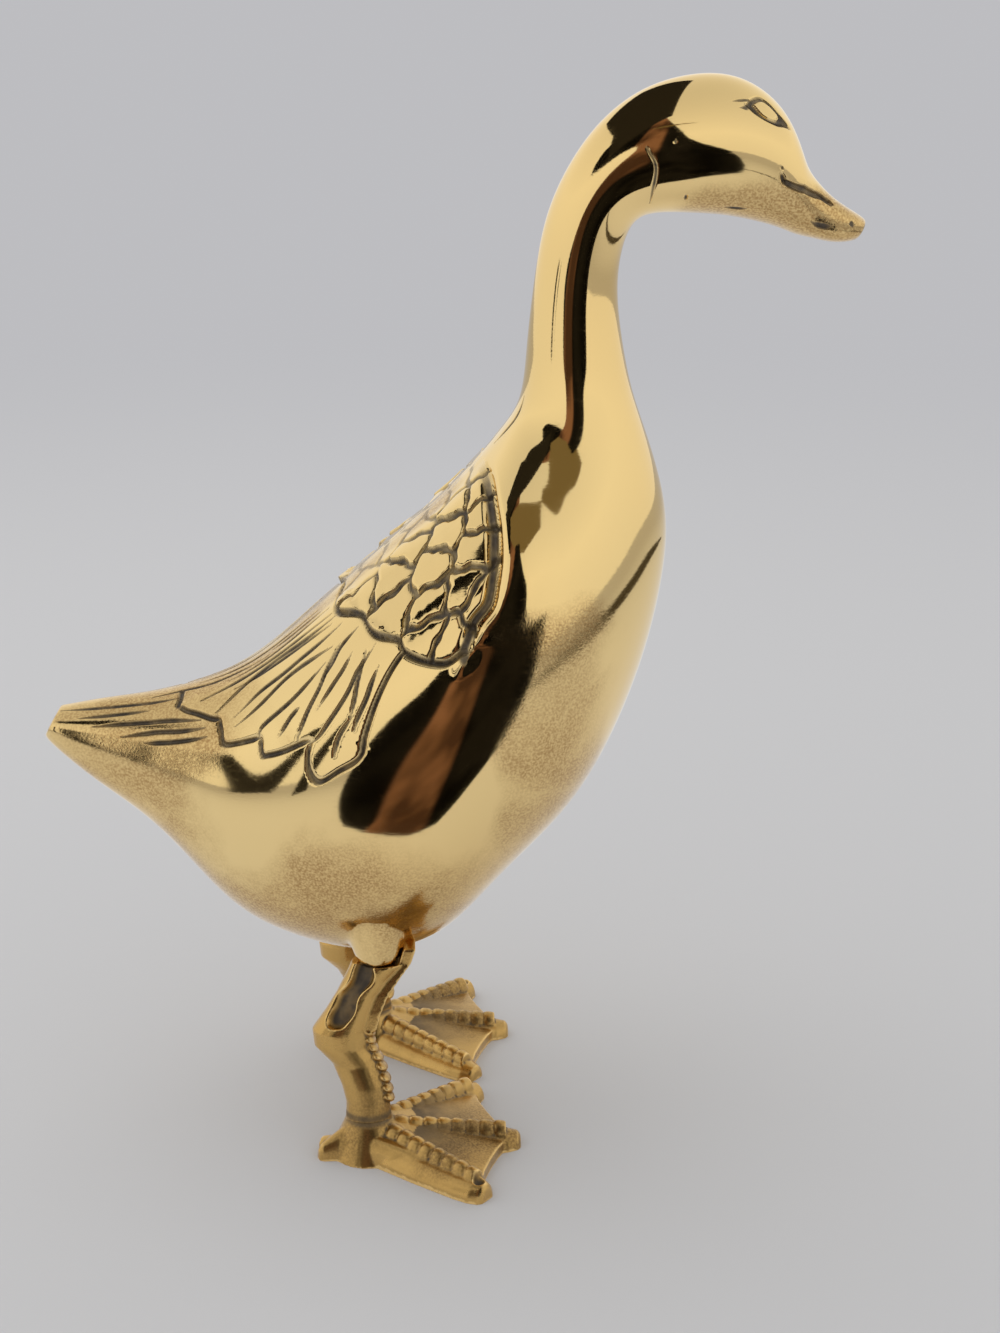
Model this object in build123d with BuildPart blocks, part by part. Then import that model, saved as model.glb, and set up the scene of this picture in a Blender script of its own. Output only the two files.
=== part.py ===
"""Brass duck: a hollow cast standing duck, long in the neck, on two webbed feet.

+Z is up, +X is the way the bill points and +Y is the duck's left.
The origin lies on the floor, under the middle of the bounding box.
The body and the neck are each cast as a left and a right half and brazed together,
the neck sits in the body's collar by a spigot, each leg is drawn up to a boss under
the belly by a stud, and each foot is held on its leg's riveted tenon.
"""

import os
from math import sqrt
from typing import NamedTuple

from build123d import *

os.makedirs("parts", exist_ok=True)

quarter_turn = 90

# The whole figure, in millimetres
figure_height = 250.0
figure_length = 191.0
body_width = 78.0
tail_tip_width = 13.0
collar_width = 27.0
neck_width = 19.0
head_width = 27.0
bill_width = 16.0

# Castings and how they fit
wall = 3.0
fit_clearance = 0.15
seat_gap = 0.3
overrun = 5.0

# Spigot of the neck, in the collar of the body
spigot_wall = 1.8
spigot_depth = 7.0

# Braze in the seams
seam = 0.2

# Raised feathers and engraved face lines
covert_height = 1.6
flight_height = 0.9
tail_feather_height = 0.5
feather_bulge = 0.9
feather_tip_radius = 1.2
engraving_depth = 0.7
eye_length = 13.6
eye_height = 4.6
eye_line_width = 1.0
eye_tilt = 32.0

# Legs, hung from the hips and standing on the ankles
hip_share = (0.411, 0.190)
hip_spread_share = 0.54
ankle_share = (0.396, 0.0)
ankle_half_gap = 28.0
ankle_height = 9.5
hock_depth = 13.8
leg_width = 10.4
strip_thickness = 3.2
strip_width = 7.0
trough_length = 15.0
trough_width = 5.0
trough_depth = 2.2
trough_turn = 50.0
trough_flare = 12.0
scutes_per_row = 2
scute_radius = 0.7
scute_width = 5.6

# Boss under the belly, with the stud, washer and nut that hold the leg
boss_radius = 5.2
boss_bevel = 1.0
boss_length_share = 0.062
stud_diameter = 3.0
stud_engagement = 4.6
stud_end = 1.0
washer_diameter = 7.0
washer_thickness = 0.6
nut_width = 5.5
nut_height = 2.4

# Feet
toe_length = 37.0
toe_spread = 41.5
toe_height = 5.6
toe_width = 7.6
ridge_width = 3.6
toe_scutes = 7
web_edge_height = 2.8
ankle_base_radius = 8.2
heel_length = 13.0
heel_turn = 20.0
tenon_diameter = 6.0
rivet_head_diameter = 9.0
rivet_head_height = 1.8
sole_recess = 0.3


class Station(NamedTuple):
    """One egg-shaped cross-section: its top and bottom points in the side view, and its shape."""

    top_share: tuple
    bottom_share: tuple
    width: float
    widest_share: float = 0.5
    crown_share: float = 0.55
    keel_share: float = 0.55


# Cross-sections from the tail tip over the body and neck to the tip of the bill.
# The places are shares of the figure's length, from the tail tip, and of its height.
tail_stations = [
    Station((0.019, 0.420), (0.000, 0.394), 0.75 * tail_tip_width),
    Station((0.032, 0.4225), (0.016, 0.379), tail_tip_width),
    Station((0.076, 0.428), (0.062, 0.347), 1.45 * tail_tip_width),
]
body_stations = [
    Station((0.138, 0.434), (0.119, 0.312), 0.34 * body_width),
    Station((0.202, 0.446), (0.173, 0.268), 0.48 * body_width),
    Station((0.265, 0.468), (0.234, 0.217), 0.64 * body_width),
    Station((0.330, 0.508), (0.311, 0.186), 0.81 * body_width),
    Station((0.392, 0.550), (0.403, 0.171), 0.93 * body_width),
    Station((0.448, 0.588), (0.492, 0.190), 0.99 * body_width),
    Station((0.495, 0.619), (0.568, 0.249), body_width),
    Station((0.532, 0.648), (0.648, 0.313), 0.95 * body_width),
    Station((0.559, 0.672), (0.705, 0.384), 0.85 * body_width),
    Station((0.577, 0.690), (0.747, 0.466), 0.71 * body_width),
    Station((0.587, 0.702), (0.770, 0.546), 0.57 * body_width),
    Station((0.595, 0.718), (0.771, 0.618), 0.45 * body_width),
]
collar = Station((0.600, 0.744), (0.742, 0.692), collar_width)
neck_stations = [
    Station((0.603, 0.771), (0.724, 0.737), 1.20 * neck_width),
    Station((0.609, 0.812), (0.710, 0.802), 1.02 * neck_width),
    Station((0.618, 0.856), (0.714, 0.847), neck_width),
    Station((0.636, 0.900), (0.728, 0.872), 1.02 * neck_width),
]
head_stations = [
    Station((0.675, 0.949), (0.754, 0.880), 0.80 * head_width),
    Station((0.729, 0.984), (0.794, 0.880), 0.92 * head_width),
    Station((0.790, 1.000), (0.832, 0.878), 0.99 * head_width),
    Station((0.848, 0.996), (0.868, 0.873), 0.99 * head_width),
    Station((0.896, 0.971), (0.897, 0.867), 0.89 * head_width),
    Station((0.920, 0.938), (0.918, 0.861), 0.74 * head_width),
]
bill_stations = [
    Station((0.932, 0.917), (0.934, 0.858), 1.05 * bill_width, 0.5, 0.60, 0.60),
    Station((0.957, 0.896), (0.953, 0.855), bill_width, 0.5, 0.65, 0.65),
    Station((0.982, 0.883), (0.972, 0.854), 0.92 * bill_width, 0.5, 0.65, 0.65),
    Station((1.000, 0.874), (0.989, 0.856), 0.62 * bill_width, 0.5, 0.60, 0.60),
]
hollow_stations = body_stations + [collar] + neck_stations + head_stations[:4]
all_stations = (
    tail_stations + body_stations + [collar] + neck_stations + head_stations + bill_stations
)

# Side-view outlines of the feathers and the mouth, as shares of length and height
covert_front_share = [
    (0.520, 0.690), (0.556, 0.650), (0.562, 0.620), (0.557, 0.590), (0.560, 0.562),
    (0.546, 0.539), (0.527, 0.522), (0.527, 0.508),
]
covert_edge_share = [
    (0.527, 0.508), (0.489, 0.505), (0.454, 0.509), (0.418, 0.516), (0.392, 0.525), (0.365, 0.527),
]
covert_back_share = [(0.365, 0.527), (0.340, 0.545), (0.520, 0.690)]
flight_share = [
    (0.454, 0.530), (0.449, 0.508), (0.420, 0.467), (0.398, 0.427), (0.380, 0.403),
    (0.348, 0.386), (0.341, 0.417), (0.310, 0.411), (0.282, 0.405), (0.275, 0.417),
    (0.250, 0.409), (0.232, 0.406), (0.227, 0.424), (0.199, 0.430), (0.190, 0.470),
    (0.345, 0.560), (0.430, 0.560),
]
tail_feather_share = [
    (0.185, 0.460), (0.190, 0.430), (0.226, 0.414), (0.222, 0.402), (0.130, 0.394),
    (0.050, 0.405), (0.050, 0.440),
]
mouth_share = [
    (0.873, 0.909), (0.889, 0.913), (0.928, 0.899), (0.960, 0.883), (0.930, 0.889), (0.884, 0.900),
]
eye_place_share = (0.864, 0.971)

# Cross-sections of a leg, from the ankle to the hip: the share of the way up, the share of
# the leg's height that the middle lies ahead of the ankle, the share of the way in to the
# hip, and the depth and width as shares of the hock's depth and the leg's width
leg_shares = [
    (0.000, 0.000, 0.00, 0.80, 0.88),
    (0.092, -0.003, 0.04, 0.76, 0.81),
    (0.208, -0.024, 0.16, 0.80, 0.81),
    (0.342, -0.074, 0.42, 0.85, 0.88),
    (0.455, -0.158, 0.56, 0.99, 1.00),
    (0.558, -0.166, 0.60, 1.00, 1.00),
    (0.674, -0.108, 0.66, 0.86, 0.90),
    (0.789, -0.047, 0.76, 0.79, 0.86),
    (0.895, 0.022, 0.88, 0.86, 0.88),
    (1.000, 0.095, 1.00, 1.00, 1.00),
]
strip_top_share = (1.140, 0.150, 1.00, 1.00, 1.00)
hock_row = 5
scuted_shares = leg_shares[1:5]
trough_place_share = 0.44

# Cross-sections of a toe and of the heel spur, standing on the floor: the share of the
# way out, and the width and height as shares of the tip pad's
toe_shares = [
    (0.10, 1.60, 1.60),
    (0.50, 1.35, 1.18),
    (0.85, 1.10, 1.00),
    (0.95, 0.95, 0.93),
    (1.00, 0.60, 0.70),
]
heel_shares = [(0.15, 1.40, 1.60), (0.60, 0.70, 1.05), (0.92, 0.42, 0.72), (1.0, 0.22, 0.55)]
ridge_shares = [(0.22, 0.47, 1.62), (0.90, 0.47, 1.18)]
ridge_flank_share = 0.86
crest_share = 0.5
web_end_share = 0.93
notch_share = 0.84


def figure_point(share):
    """Point of the middle plane at a share of the figure's length and height."""
    return Vector((share[0] - 0.5) * figure_length, 0, share[1] * figure_height)


def between(start, end, way):
    """Value or place at a share of the way from the start to the end."""
    return start + (end - start) * way


def flat_points(shares):
    """The same points in the coordinates of the middle plane."""
    places = [figure_point(share) for share in shares]
    return [(place.X, place.Z) for place in places]


def section_plane(row):
    """Plane of a station, across the figure, with its origin at the station's widest place."""
    top = figure_point(row.top_share)
    up = (top - figure_point(row.bottom_share)).normalized()
    centre = top + (figure_point(row.bottom_share) - top) * row.widest_share
    return Plane(centre, x_dir=(0, 1, 0), z_dir=(up.Z, 0, -up.X))


def half_skin(rows, inset):
    """Smooth left half of the figure, its surface drawn in by the inset."""
    with BuildPart() as form:
        for row in rows:
            rise = (figure_point(row.top_share) - figure_point(row.bottom_share)).length
            crown = row.widest_share * rise - inset
            keel = (1 - row.widest_share) * rise - inset
            half = row.width / 2 - inset
            with BuildSketch(section_plane(row)):
                with BuildLine():
                    Line((0, -keel), (0, crown))
                    Bezier(
                        (0, crown),
                        (row.crown_share * half, crown),
                        (half, row.crown_share * crown),
                        (half, 0),
                    )
                    Bezier(
                        (half, 0),
                        (half, -row.keel_share * keel),
                        (row.keel_share * half, -keel),
                        (0, -keel),
                    )
                make_face()
        loft()
    return form.part


def feather_column(shares):
    """Column of a feather outline with its corners rounded, from the middle out."""
    with BuildPart() as column:
        with BuildSketch(Plane.XZ) as outline:
            with BuildLine():
                Polyline(*flat_points(shares), close=True)
            make_face()
            fillet(outline.vertices(), radius=feather_tip_radius)
        extrude(amount=-body_width)
    return column.part


def shank_place(row):
    """Middle of a leg's cross-section."""
    up, ahead, inward = row[:3]
    leg_height = hip_height - ankle_height
    return Vector(
        ankle[0] + ahead * leg_height,
        between(ankle[1], hip[1], inward),
        between(ankle_height, hip_height, up),
    )


def shank_front(row):
    """Front of a leg's cross-section."""
    return shank_place(row) + Vector(row[3] * hock_depth / 2, 0, 0)


def toe_ridge(turn):
    """Ridge along the top of a toe, with a flat crest and sloping flanks."""
    ahead = Vector(1, 0, 0).rotate(Axis.Z, turn)
    with BuildPart() as ridge:
        for out, wide, high in ridge_shares:
            half = wide * toe_width / 2
            top = high * toe_height
            across = Plane(Vector(*ankle) + ahead * (out * toe_length), x_dir=(0, 0, 1), z_dir=ahead)
            with BuildSketch(across):
                with BuildLine():
                    Polyline(
                        (0, -half),
                        (ridge_flank_share * top, -half),
                        (top, -crest_share * half),
                        (top, crest_share * half),
                        (ridge_flank_share * top, half),
                        (0, half),
                        close=True,
                    )
                make_face()
        loft(ruled=True)
    return ridge.part


def scute(place, width, turn=0):
    """Edge of a horny scute: a bar on its corner, across the way that the foot or leg runs."""
    with Locations(Location(place, (0, 0, turn))):
        Box(scute_side, width, scute_side, rotation=(0, quarter_turn / 2, 0))


def foot_point(out_share, turn):
    """Point on the floor at a share of the toes' length from the ankle, in a direction."""
    place = Vector(out_share * toe_length, 0, 0).rotate(Axis.Z, turn)
    return (place.X, place.Y)


def standing_spur(turn, length, rows):
    """Bar from the ankle outwards, with half-round sections that stand on the floor."""
    ahead = Vector(1, 0, 0).rotate(Axis.Z, turn)
    with BuildPart() as spur:
        for out, wide, high in rows:
            across = Plane(Vector(*ankle) + ahead * (out * length), x_dir=(0, 0, 1), z_dir=ahead)
            with BuildSketch(across):
                with BuildLine():
                    Line((0, -wide * toe_width / 2), (0, wide * toe_width / 2))
                    EllipticalCenterArc(
                        (0, 0),
                        high * toe_height,
                        wide * toe_width / 2,
                        -quarter_turn,
                        arc_size=2 * quarter_turn,
                    )
                make_face()
        loft(ruled=True)
    return spur.part


hip_height = hip_share[1] * figure_height
hip = (figure_point(hip_share).X, hip_spread_share * body_width / 2)
ankle = (figure_point(ankle_share).X, ankle_half_gap)
boss_length = boss_length_share * figure_height
scute_side = scute_radius * sqrt(2)

collar_plane = section_plane(collar)
neck_plane = collar_plane.offset(seam)
spigot_end_plane = collar_plane.offset(-spigot_depth)
left_seam_plane = Plane.XZ.offset(-seam / 2)

outer = half_skin(all_stations, 0)
hollow = half_skin(hollow_stations, wall)
bore = half_skin(hollow_stations, wall + fit_clearance + spigot_wall)

# Left half of the body: raised feathers, and the boss with its bore

with BuildPart() as coverts:
    with BuildSketch(Plane.XZ):
        with BuildLine():
            Spline(*flat_points(covert_front_share))
            edge = flat_points(covert_edge_share)
            for start, end in zip(edge, edge[1:]):
                SagittaArc(start, end, -feather_bulge)
            Polyline(*flat_points(covert_back_share))
        make_face()
    extrude(amount=-body_width)
    add(half_skin(all_stations, -covert_height), mode=Mode.INTERSECT)

with BuildPart() as flight_feathers:
    add(half_skin(all_stations, -flight_height))
    add(feather_column(flight_share), mode=Mode.INTERSECT)

with BuildPart() as tail_feathers:
    add(half_skin(all_stations, -tail_feather_height))
    add(feather_column(tail_feather_share), mode=Mode.INTERSECT)

with BuildPart() as boss:
    with BuildSketch(Plane.XY.offset(hip_height)):
        with Locations(hip):
            Circle(boss_radius)
    extrude(amount=boss_length)
    chamfer(boss.edges().group_by(Axis.Z)[0], length=boss_bevel)

with BuildPart() as body_shell:
    add(outer)
    add(coverts.part)
    add(flight_feathers.part)
    add(tail_feathers.part)
    split(bisect_by=collar_plane, keep=Keep.BOTTOM)
    split(bisect_by=left_seam_plane, keep=Keep.BOTTOM)
    add(hollow, mode=Mode.SUBTRACT)

with BuildPart() as body_left_half:
    add(boss.part)
    add(body_shell.part)
    with BuildSketch(Plane.XY.offset(hip_height - overrun)):
        with Locations(hip):
            Circle(stud_diameter / 2 + fit_clearance)
    extrude(amount=boss_length + 2 * overrun, mode=Mode.SUBTRACT)
body_left_half.part.label = "body_left_half"
export_step(body_left_half.part, "parts/body_left_half.step")

# Left half of the neck and head: spigot, bore, mouth and eye

with BuildPart() as spigot:
    add(half_skin(hollow_stations, wall + fit_clearance))
    split(bisect_by=neck_plane, keep=Keep.BOTTOM)
    split(bisect_by=spigot_end_plane, keep=Keep.TOP)

with BuildPart() as face_lines:
    with BuildSketch(Plane.XZ):
        with BuildLine():
            Spline(*flat_points(mouth_share), periodic=True)
        make_face()
    eye_plane = Plane(figure_point(eye_place_share), x_dir=(1, 0, 0), z_dir=(0, -1, 0))
    with BuildSketch(eye_plane.rotated((0, 0, -eye_tilt))):
        Ellipse(eye_length / 2, eye_height / 2)
        Ellipse(
            eye_length / 2 - 2 * eye_line_width,
            eye_height / 2 - eye_line_width,
            mode=Mode.SUBTRACT,
        )
    extrude(amount=-body_width)
    add(half_skin(all_stations, -engraving_depth), mode=Mode.INTERSECT)
    add(half_skin(all_stations, engraving_depth), mode=Mode.SUBTRACT)

with BuildPart() as neck_left_half:
    add(outer)
    split(bisect_by=neck_plane, keep=Keep.TOP)
    add(spigot.part)
    add(bore, mode=Mode.SUBTRACT)
    split(bisect_by=left_seam_plane, keep=Keep.BOTTOM)
    add(face_lines.part, mode=Mode.SUBTRACT)
neck_left_half.part.label = "neck_left_half"
export_step(neck_left_half.part, "parts/neck_left_half.step")

# Braze: a film between the halves of the body and of the neck, and one under the neck

with BuildPart() as body_seam_braze:
    body_seam = body_left_half.faces().filter_by(Plane.XZ).sort_by(SortBy.AREA)[-1]
    extrude(body_seam, amount=seam, dir=(0, -1, 0))
body_seam_braze.part.label = "body_seam_braze"
export_step(body_seam_braze.part, "parts/body_seam_braze.step")

with BuildPart() as neck_seam_braze:
    neck_seam = neck_left_half.faces().filter_by(Plane.XZ).sort_by(SortBy.AREA)[-1]
    extrude(neck_seam, amount=seam, dir=(0, -1, 0))
neck_seam_braze.part.label = "neck_seam_braze"
export_step(neck_seam_braze.part, "parts/neck_seam_braze.step")

with BuildPart() as neck_joint_braze:
    add(outer)
    add(hollow, mode=Mode.SUBTRACT)
    split(bisect_by=neck_plane, keep=Keep.BOTTOM)
    split(bisect_by=collar_plane, keep=Keep.TOP)
    mirror(about=Plane.XZ)
neck_joint_braze.part.label = "neck_joint_braze"
export_step(neck_joint_braze.part, "parts/neck_joint_braze.step")

# Left leg: thigh, hock and shank, the flat strip down its front, the trough at its back,
# scutes on the shank, the blind hole for the stud and the riveted tenon under the ankle

hock_place = shank_place(leg_shares[hock_row])
hip_place = shank_place(leg_shares[-1])
along_thigh = (hip_place - hock_place).normalized()
back_and_out = Vector(-1, 0, 0).rotate(Axis.Z, -trough_turn)
trough_out = (back_and_out - along_thigh * back_and_out.dot(along_thigh)).normalized()
trough_centre = between(hock_place, hip_place, trough_place_share)
trough_floor = trough_centre + trough_out * (leg_width / 2 - trough_depth)

with BuildPart() as strip:
    for row in leg_shares[hock_row:] + [strip_top_share]:
        front = shank_front(row)
        with BuildSketch(Plane.XY.offset(front.Z)):
            with Locations((front.X, front.Y)):
                Rectangle(strip_thickness, strip_width)
    loft()

with BuildPart() as left_leg:
    for row in leg_shares:
        middle = shank_place(row)
        with BuildSketch(Plane.XY.offset(middle.Z)):
            with Locations((middle.X, middle.Y)):
                Ellipse(row[3] * hock_depth / 2, row[4] * leg_width / 2)
    loft()
    add(strip.part)
    add(half_skin(all_stations, -seat_gap), mode=Mode.SUBTRACT)
    with BuildSketch(Plane(trough_floor, x_dir=along_thigh, z_dir=trough_out)):
        SlotOverall(trough_length, trough_width)
    extrude(amount=overrun, taper=-trough_flare, mode=Mode.SUBTRACT)
    for row, next_row in zip(scuted_shares, scuted_shares[1:]):
        for step in range(scutes_per_row):
            front = between(shank_front(row), shank_front(next_row), step / scutes_per_row)
            scute(front, scute_width)
    with BuildSketch(Plane.XY.offset(hip_height)):
        with Locations(hip):
            Circle(stud_diameter / 2 + fit_clearance)
    extrude(amount=-(stud_engagement + stud_end), mode=Mode.SUBTRACT)
    with BuildSketch(Plane.XY.offset(ankle_height)):
        with Locations(ankle):
            Circle(tenon_diameter / 2)
    extrude(amount=sole_recess - ankle_height)
    with Locations((*ankle, sole_recess)):
        Cone(
            rivet_head_diameter / 2,
            tenon_diameter / 2,
            rivet_head_height,
            align=(Align.CENTER, Align.CENTER, Align.MIN),
        )
left_leg.part.label = "left_leg"
export_step(left_leg.part, "parts/left_leg.step")

# Left foot: heel spur, three ridged toes with scutes, the web between them, and the bore
# for the tenon with its countersink in the sole

ankle_plane = Plane((*ankle, 0), x_dir=(1, 0, 0), z_dir=(0, -1, 0))
with BuildPart() as web_slope:
    with BuildSketch(ankle_plane):
        with BuildLine():
            Polyline(
                (0, 0),
                (toe_length, 0),
                (toe_length, web_edge_height),
                (0, ankle_height),
                close=True,
            )
        make_face()
    revolve(axis=Axis((*ankle, 0), (0, 0, 1)))

with BuildPart() as web:
    with BuildSketch(Plane((*ankle, 0))):
        with BuildLine():
            for turn in (0, toe_spread):
                ThreePointArc(
                    foot_point(web_end_share, turn - toe_spread),
                    foot_point(notch_share, turn - toe_spread / 2),
                    foot_point(web_end_share, turn),
                )
            Polyline(foot_point(web_end_share, toe_spread), (0, 0), foot_point(web_end_share, -toe_spread))
        make_face()
    extrude(amount=ankle_height)
    add(web_slope.part, mode=Mode.INTERSECT)

with BuildPart() as left_foot:
    with Locations((*ankle, 0)):
        Cone(
            ankle_base_radius,
            leg_shares[0][3] * hock_depth / 2,
            ankle_height,
            align=(Align.CENTER, Align.CENTER, Align.MIN),
        )
    add(web.part)
    add(standing_spur(2 * quarter_turn - heel_turn, heel_length, heel_shares))
    for turn in (-toe_spread, 0, toe_spread):
        add(standing_spur(turn, toe_length, toe_shares))
        add(toe_ridge(turn))
        for step in range(toe_scutes):
            way = step / (toe_scutes - 1)
            out = between(ridge_shares[0][0], ridge_shares[-1][0], way)
            high = between(ridge_shares[0][2], ridge_shares[-1][2], way) * toe_height
            place = Vector(*ankle, high - scute_radius / 2) + Vector(*foot_point(out, turn))
            scute(place, ridge_width, turn)
    split(bisect_by=Plane.XY.offset(ankle_height), keep=Keep.BOTTOM)
    with BuildSketch(Plane.XY):
        with Locations(ankle):
            Circle(tenon_diameter / 2 + fit_clearance)
    extrude(amount=ankle_height, mode=Mode.SUBTRACT)
    with Locations((*ankle, 0)):
        Cone(
            rivet_head_diameter / 2 + fit_clearance + sole_recess,
            tenon_diameter / 2 + fit_clearance,
            rivet_head_height + sole_recess,
            align=(Align.CENTER, Align.CENTER, Align.MIN),
            mode=Mode.SUBTRACT,
        )
left_foot.part.label = "left_foot"
export_step(left_foot.part, "parts/left_foot.step")

# Stud, washer and nut of the left leg

with BuildPart() as left_leg_stud:
    with BuildSketch(Plane.XY.offset(hip_height - stud_engagement)):
        with Locations(hip):
            Circle(stud_diameter / 2)
    extrude(amount=stud_engagement + boss_length + washer_thickness + nut_height + stud_end)
left_leg_stud.part.label = "left_leg_stud"
export_step(left_leg_stud.part, "parts/left_leg_stud.step")

with BuildPart() as left_leg_washer:
    with BuildSketch(Plane.XY.offset(hip_height + boss_length)):
        with Locations(hip):
            Circle(washer_diameter / 2)
            Circle(stud_diameter / 2 + fit_clearance, mode=Mode.SUBTRACT)
    extrude(amount=washer_thickness)
left_leg_washer.part.label = "left_leg_washer"
export_step(left_leg_washer.part, "parts/left_leg_washer.step")

with BuildPart() as left_leg_nut:
    with BuildSketch(Plane.XY.offset(hip_height + boss_length + washer_thickness)):
        with Locations(hip):
            RegularPolygon(nut_width / 2, 6, major_radius=False)
            Circle(stud_diameter / 2, mode=Mode.SUBTRACT)
    extrude(amount=nut_height)
left_leg_nut.part.label = "left_leg_nut"
export_step(left_leg_nut.part, "parts/left_leg_nut.step")

# The right side mirrors the left

for left_piece, right_name in (
    (body_left_half, "body_right_half"),
    (neck_left_half, "neck_right_half"),
    (left_leg, "right_leg"),
    (left_foot, "right_foot"),
    (left_leg_stud, "right_leg_stud"),
    (left_leg_washer, "right_leg_washer"),
    (left_leg_nut, "right_leg_nut"),
):
    with BuildPart() as right_piece:
        mirror(left_piece.part, about=Plane.XZ)
    right_piece.part.label = right_name
    export_step(right_piece.part, f"parts/{right_name}.step")
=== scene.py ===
"""Looks of the brass duck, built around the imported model: cast body and neck, legs, webbed feet."""

from math import cos, pi, radians, sin

import bmesh
import bpy
import numpy as np
from mathutils import Matrix, Vector


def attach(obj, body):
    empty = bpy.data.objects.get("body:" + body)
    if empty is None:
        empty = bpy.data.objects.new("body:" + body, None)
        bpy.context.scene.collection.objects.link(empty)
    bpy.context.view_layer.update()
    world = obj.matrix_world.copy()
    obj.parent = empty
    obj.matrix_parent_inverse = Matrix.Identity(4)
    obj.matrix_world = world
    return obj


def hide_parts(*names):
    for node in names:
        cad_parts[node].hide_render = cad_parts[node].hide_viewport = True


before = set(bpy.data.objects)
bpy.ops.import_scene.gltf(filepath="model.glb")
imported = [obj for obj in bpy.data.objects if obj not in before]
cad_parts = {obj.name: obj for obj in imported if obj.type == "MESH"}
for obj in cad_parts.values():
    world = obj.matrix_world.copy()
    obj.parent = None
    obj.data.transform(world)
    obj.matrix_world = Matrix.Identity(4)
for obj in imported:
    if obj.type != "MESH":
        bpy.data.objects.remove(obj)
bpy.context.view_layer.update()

MM = 0.001
LENGTH = 191 * MM
HEIGHT = 250 * MM
BODY_WIDTH = 78 * MM
TAIL_WIDTH = 13 * MM
COLLAR_WIDTH = 27 * MM
NECK_WIDTH = 19 * MM
HEAD_WIDTH = 27 * MM
BILL_WIDTH = 16 * MM
SEAM = 0.2 * MM
HIP = Vector((-17, 21, 47.5)) * MM
ANKLE = Vector((-19.9, 28, 9.5)) * MM

# Cross-sections of the figure from the tail's end to the tip of the bill: the top and the
# bottom in the side view, as shares of length and height, and the width
SECTIONS = [
    (0.019, 0.420, 0.000, 0.394, 0.75 * TAIL_WIDTH),
    (0.032, 0.4225, 0.016, 0.379, TAIL_WIDTH),
    (0.076, 0.428, 0.062, 0.347, 1.45 * TAIL_WIDTH),
    (0.138, 0.434, 0.119, 0.312, 0.34 * BODY_WIDTH),
    (0.202, 0.446, 0.173, 0.268, 0.48 * BODY_WIDTH),
    (0.265, 0.468, 0.234, 0.217, 0.64 * BODY_WIDTH),
    (0.330, 0.508, 0.311, 0.186, 0.81 * BODY_WIDTH),
    (0.392, 0.550, 0.403, 0.171, 0.93 * BODY_WIDTH),
    (0.448, 0.588, 0.492, 0.190, 0.99 * BODY_WIDTH),
    (0.495, 0.619, 0.568, 0.249, BODY_WIDTH),
    (0.532, 0.648, 0.648, 0.313, 0.95 * BODY_WIDTH),
    (0.559, 0.672, 0.705, 0.384, 0.85 * BODY_WIDTH),
    (0.577, 0.690, 0.747, 0.466, 0.71 * BODY_WIDTH),
    (0.587, 0.702, 0.770, 0.546, 0.57 * BODY_WIDTH),
    (0.595, 0.718, 0.771, 0.618, 0.45 * BODY_WIDTH),
    (0.600, 0.744, 0.742, 0.692, COLLAR_WIDTH),
    (0.603, 0.771, 0.724, 0.737, 1.20 * NECK_WIDTH),
    (0.609, 0.812, 0.710, 0.802, 1.02 * NECK_WIDTH),
    (0.618, 0.856, 0.714, 0.847, NECK_WIDTH),
    (0.636, 0.900, 0.728, 0.872, 1.02 * NECK_WIDTH),
    (0.675, 0.949, 0.754, 0.880, 0.80 * HEAD_WIDTH),
    (0.729, 0.984, 0.794, 0.880, 0.95 * HEAD_WIDTH),
    (0.790, 0.999, 0.832, 0.878, 0.98 * HEAD_WIDTH),
    (0.848, 0.996, 0.868, 0.873, 0.93 * HEAD_WIDTH),
    (0.896, 0.971, 0.897, 0.867, 0.82 * HEAD_WIDTH),
    (0.920, 0.938, 0.918, 0.861, 0.71 * HEAD_WIDTH),
    (0.932, 0.917, 0.934, 0.858, 1.05 * BILL_WIDTH),
    (0.957, 0.896, 0.953, 0.855, BILL_WIDTH),
    (0.982, 0.883, 0.972, 0.854, 0.92 * BILL_WIDTH),
    (1.000, 0.874, 0.989, 0.856, 0.62 * BILL_WIDTH),
]
# How square the bill's sections are
BILL_SQUARES = [0.1, 0.2, 0.2, 0.1]
COLLAR_ROW = 15
RING_POINTS = 32
# Smaller rings that round off the tail's end and the tip of the bill
END_SCALE = 0.6
TAIL_END_SHIFT = 0.25 * MM
BILL_END_SHIFT = -0.6 * MM

# Cross-sections of a leg from the ankle to the hip: the share of the way up, the share of
# the leg's height ahead of the ankle, the share of the way in, and the depth and width
LEG_HEIGHT = HIP.z - ANKLE.z
HOCK_DEPTH = 13.8 * MM
LEG_WIDTH = 10.4 * MM
LEG_SECTIONS = [
    (-0.080, 0.000, 0.00, 0.86, 0.94),
    (0.000, 0.000, 0.00, 0.80, 0.88),
    (0.092, -0.003, 0.04, 0.76, 0.81),
    (0.208, -0.024, 0.16, 0.80, 0.81),
    (0.342, -0.074, 0.42, 0.85, 0.88),
    (0.455, -0.158, 0.56, 0.99, 1.00),
    (0.558, -0.166, 0.60, 1.00, 1.00),
    (0.674, -0.108, 0.66, 0.86, 0.90),
    (0.789, -0.047, 0.76, 0.79, 0.86),
    (0.895, 0.022, 0.88, 0.86, 0.88),
    (0.990, 0.090, 1.00, 0.98, 0.98),
]


# Mesh tools

def opened(mesh):
    """A mesh's copy as a bmesh."""
    bm = bmesh.new()
    bm.from_mesh(mesh)
    return bm


def new_piece(name, bm):
    """A finished bmesh as an object at the origin."""
    mesh = bpy.data.meshes.new(name)
    bm.to_mesh(mesh)
    bm.free()
    piece = bpy.data.objects.new(name, mesh)
    bpy.context.collection.objects.link(piece)
    return piece


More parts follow.
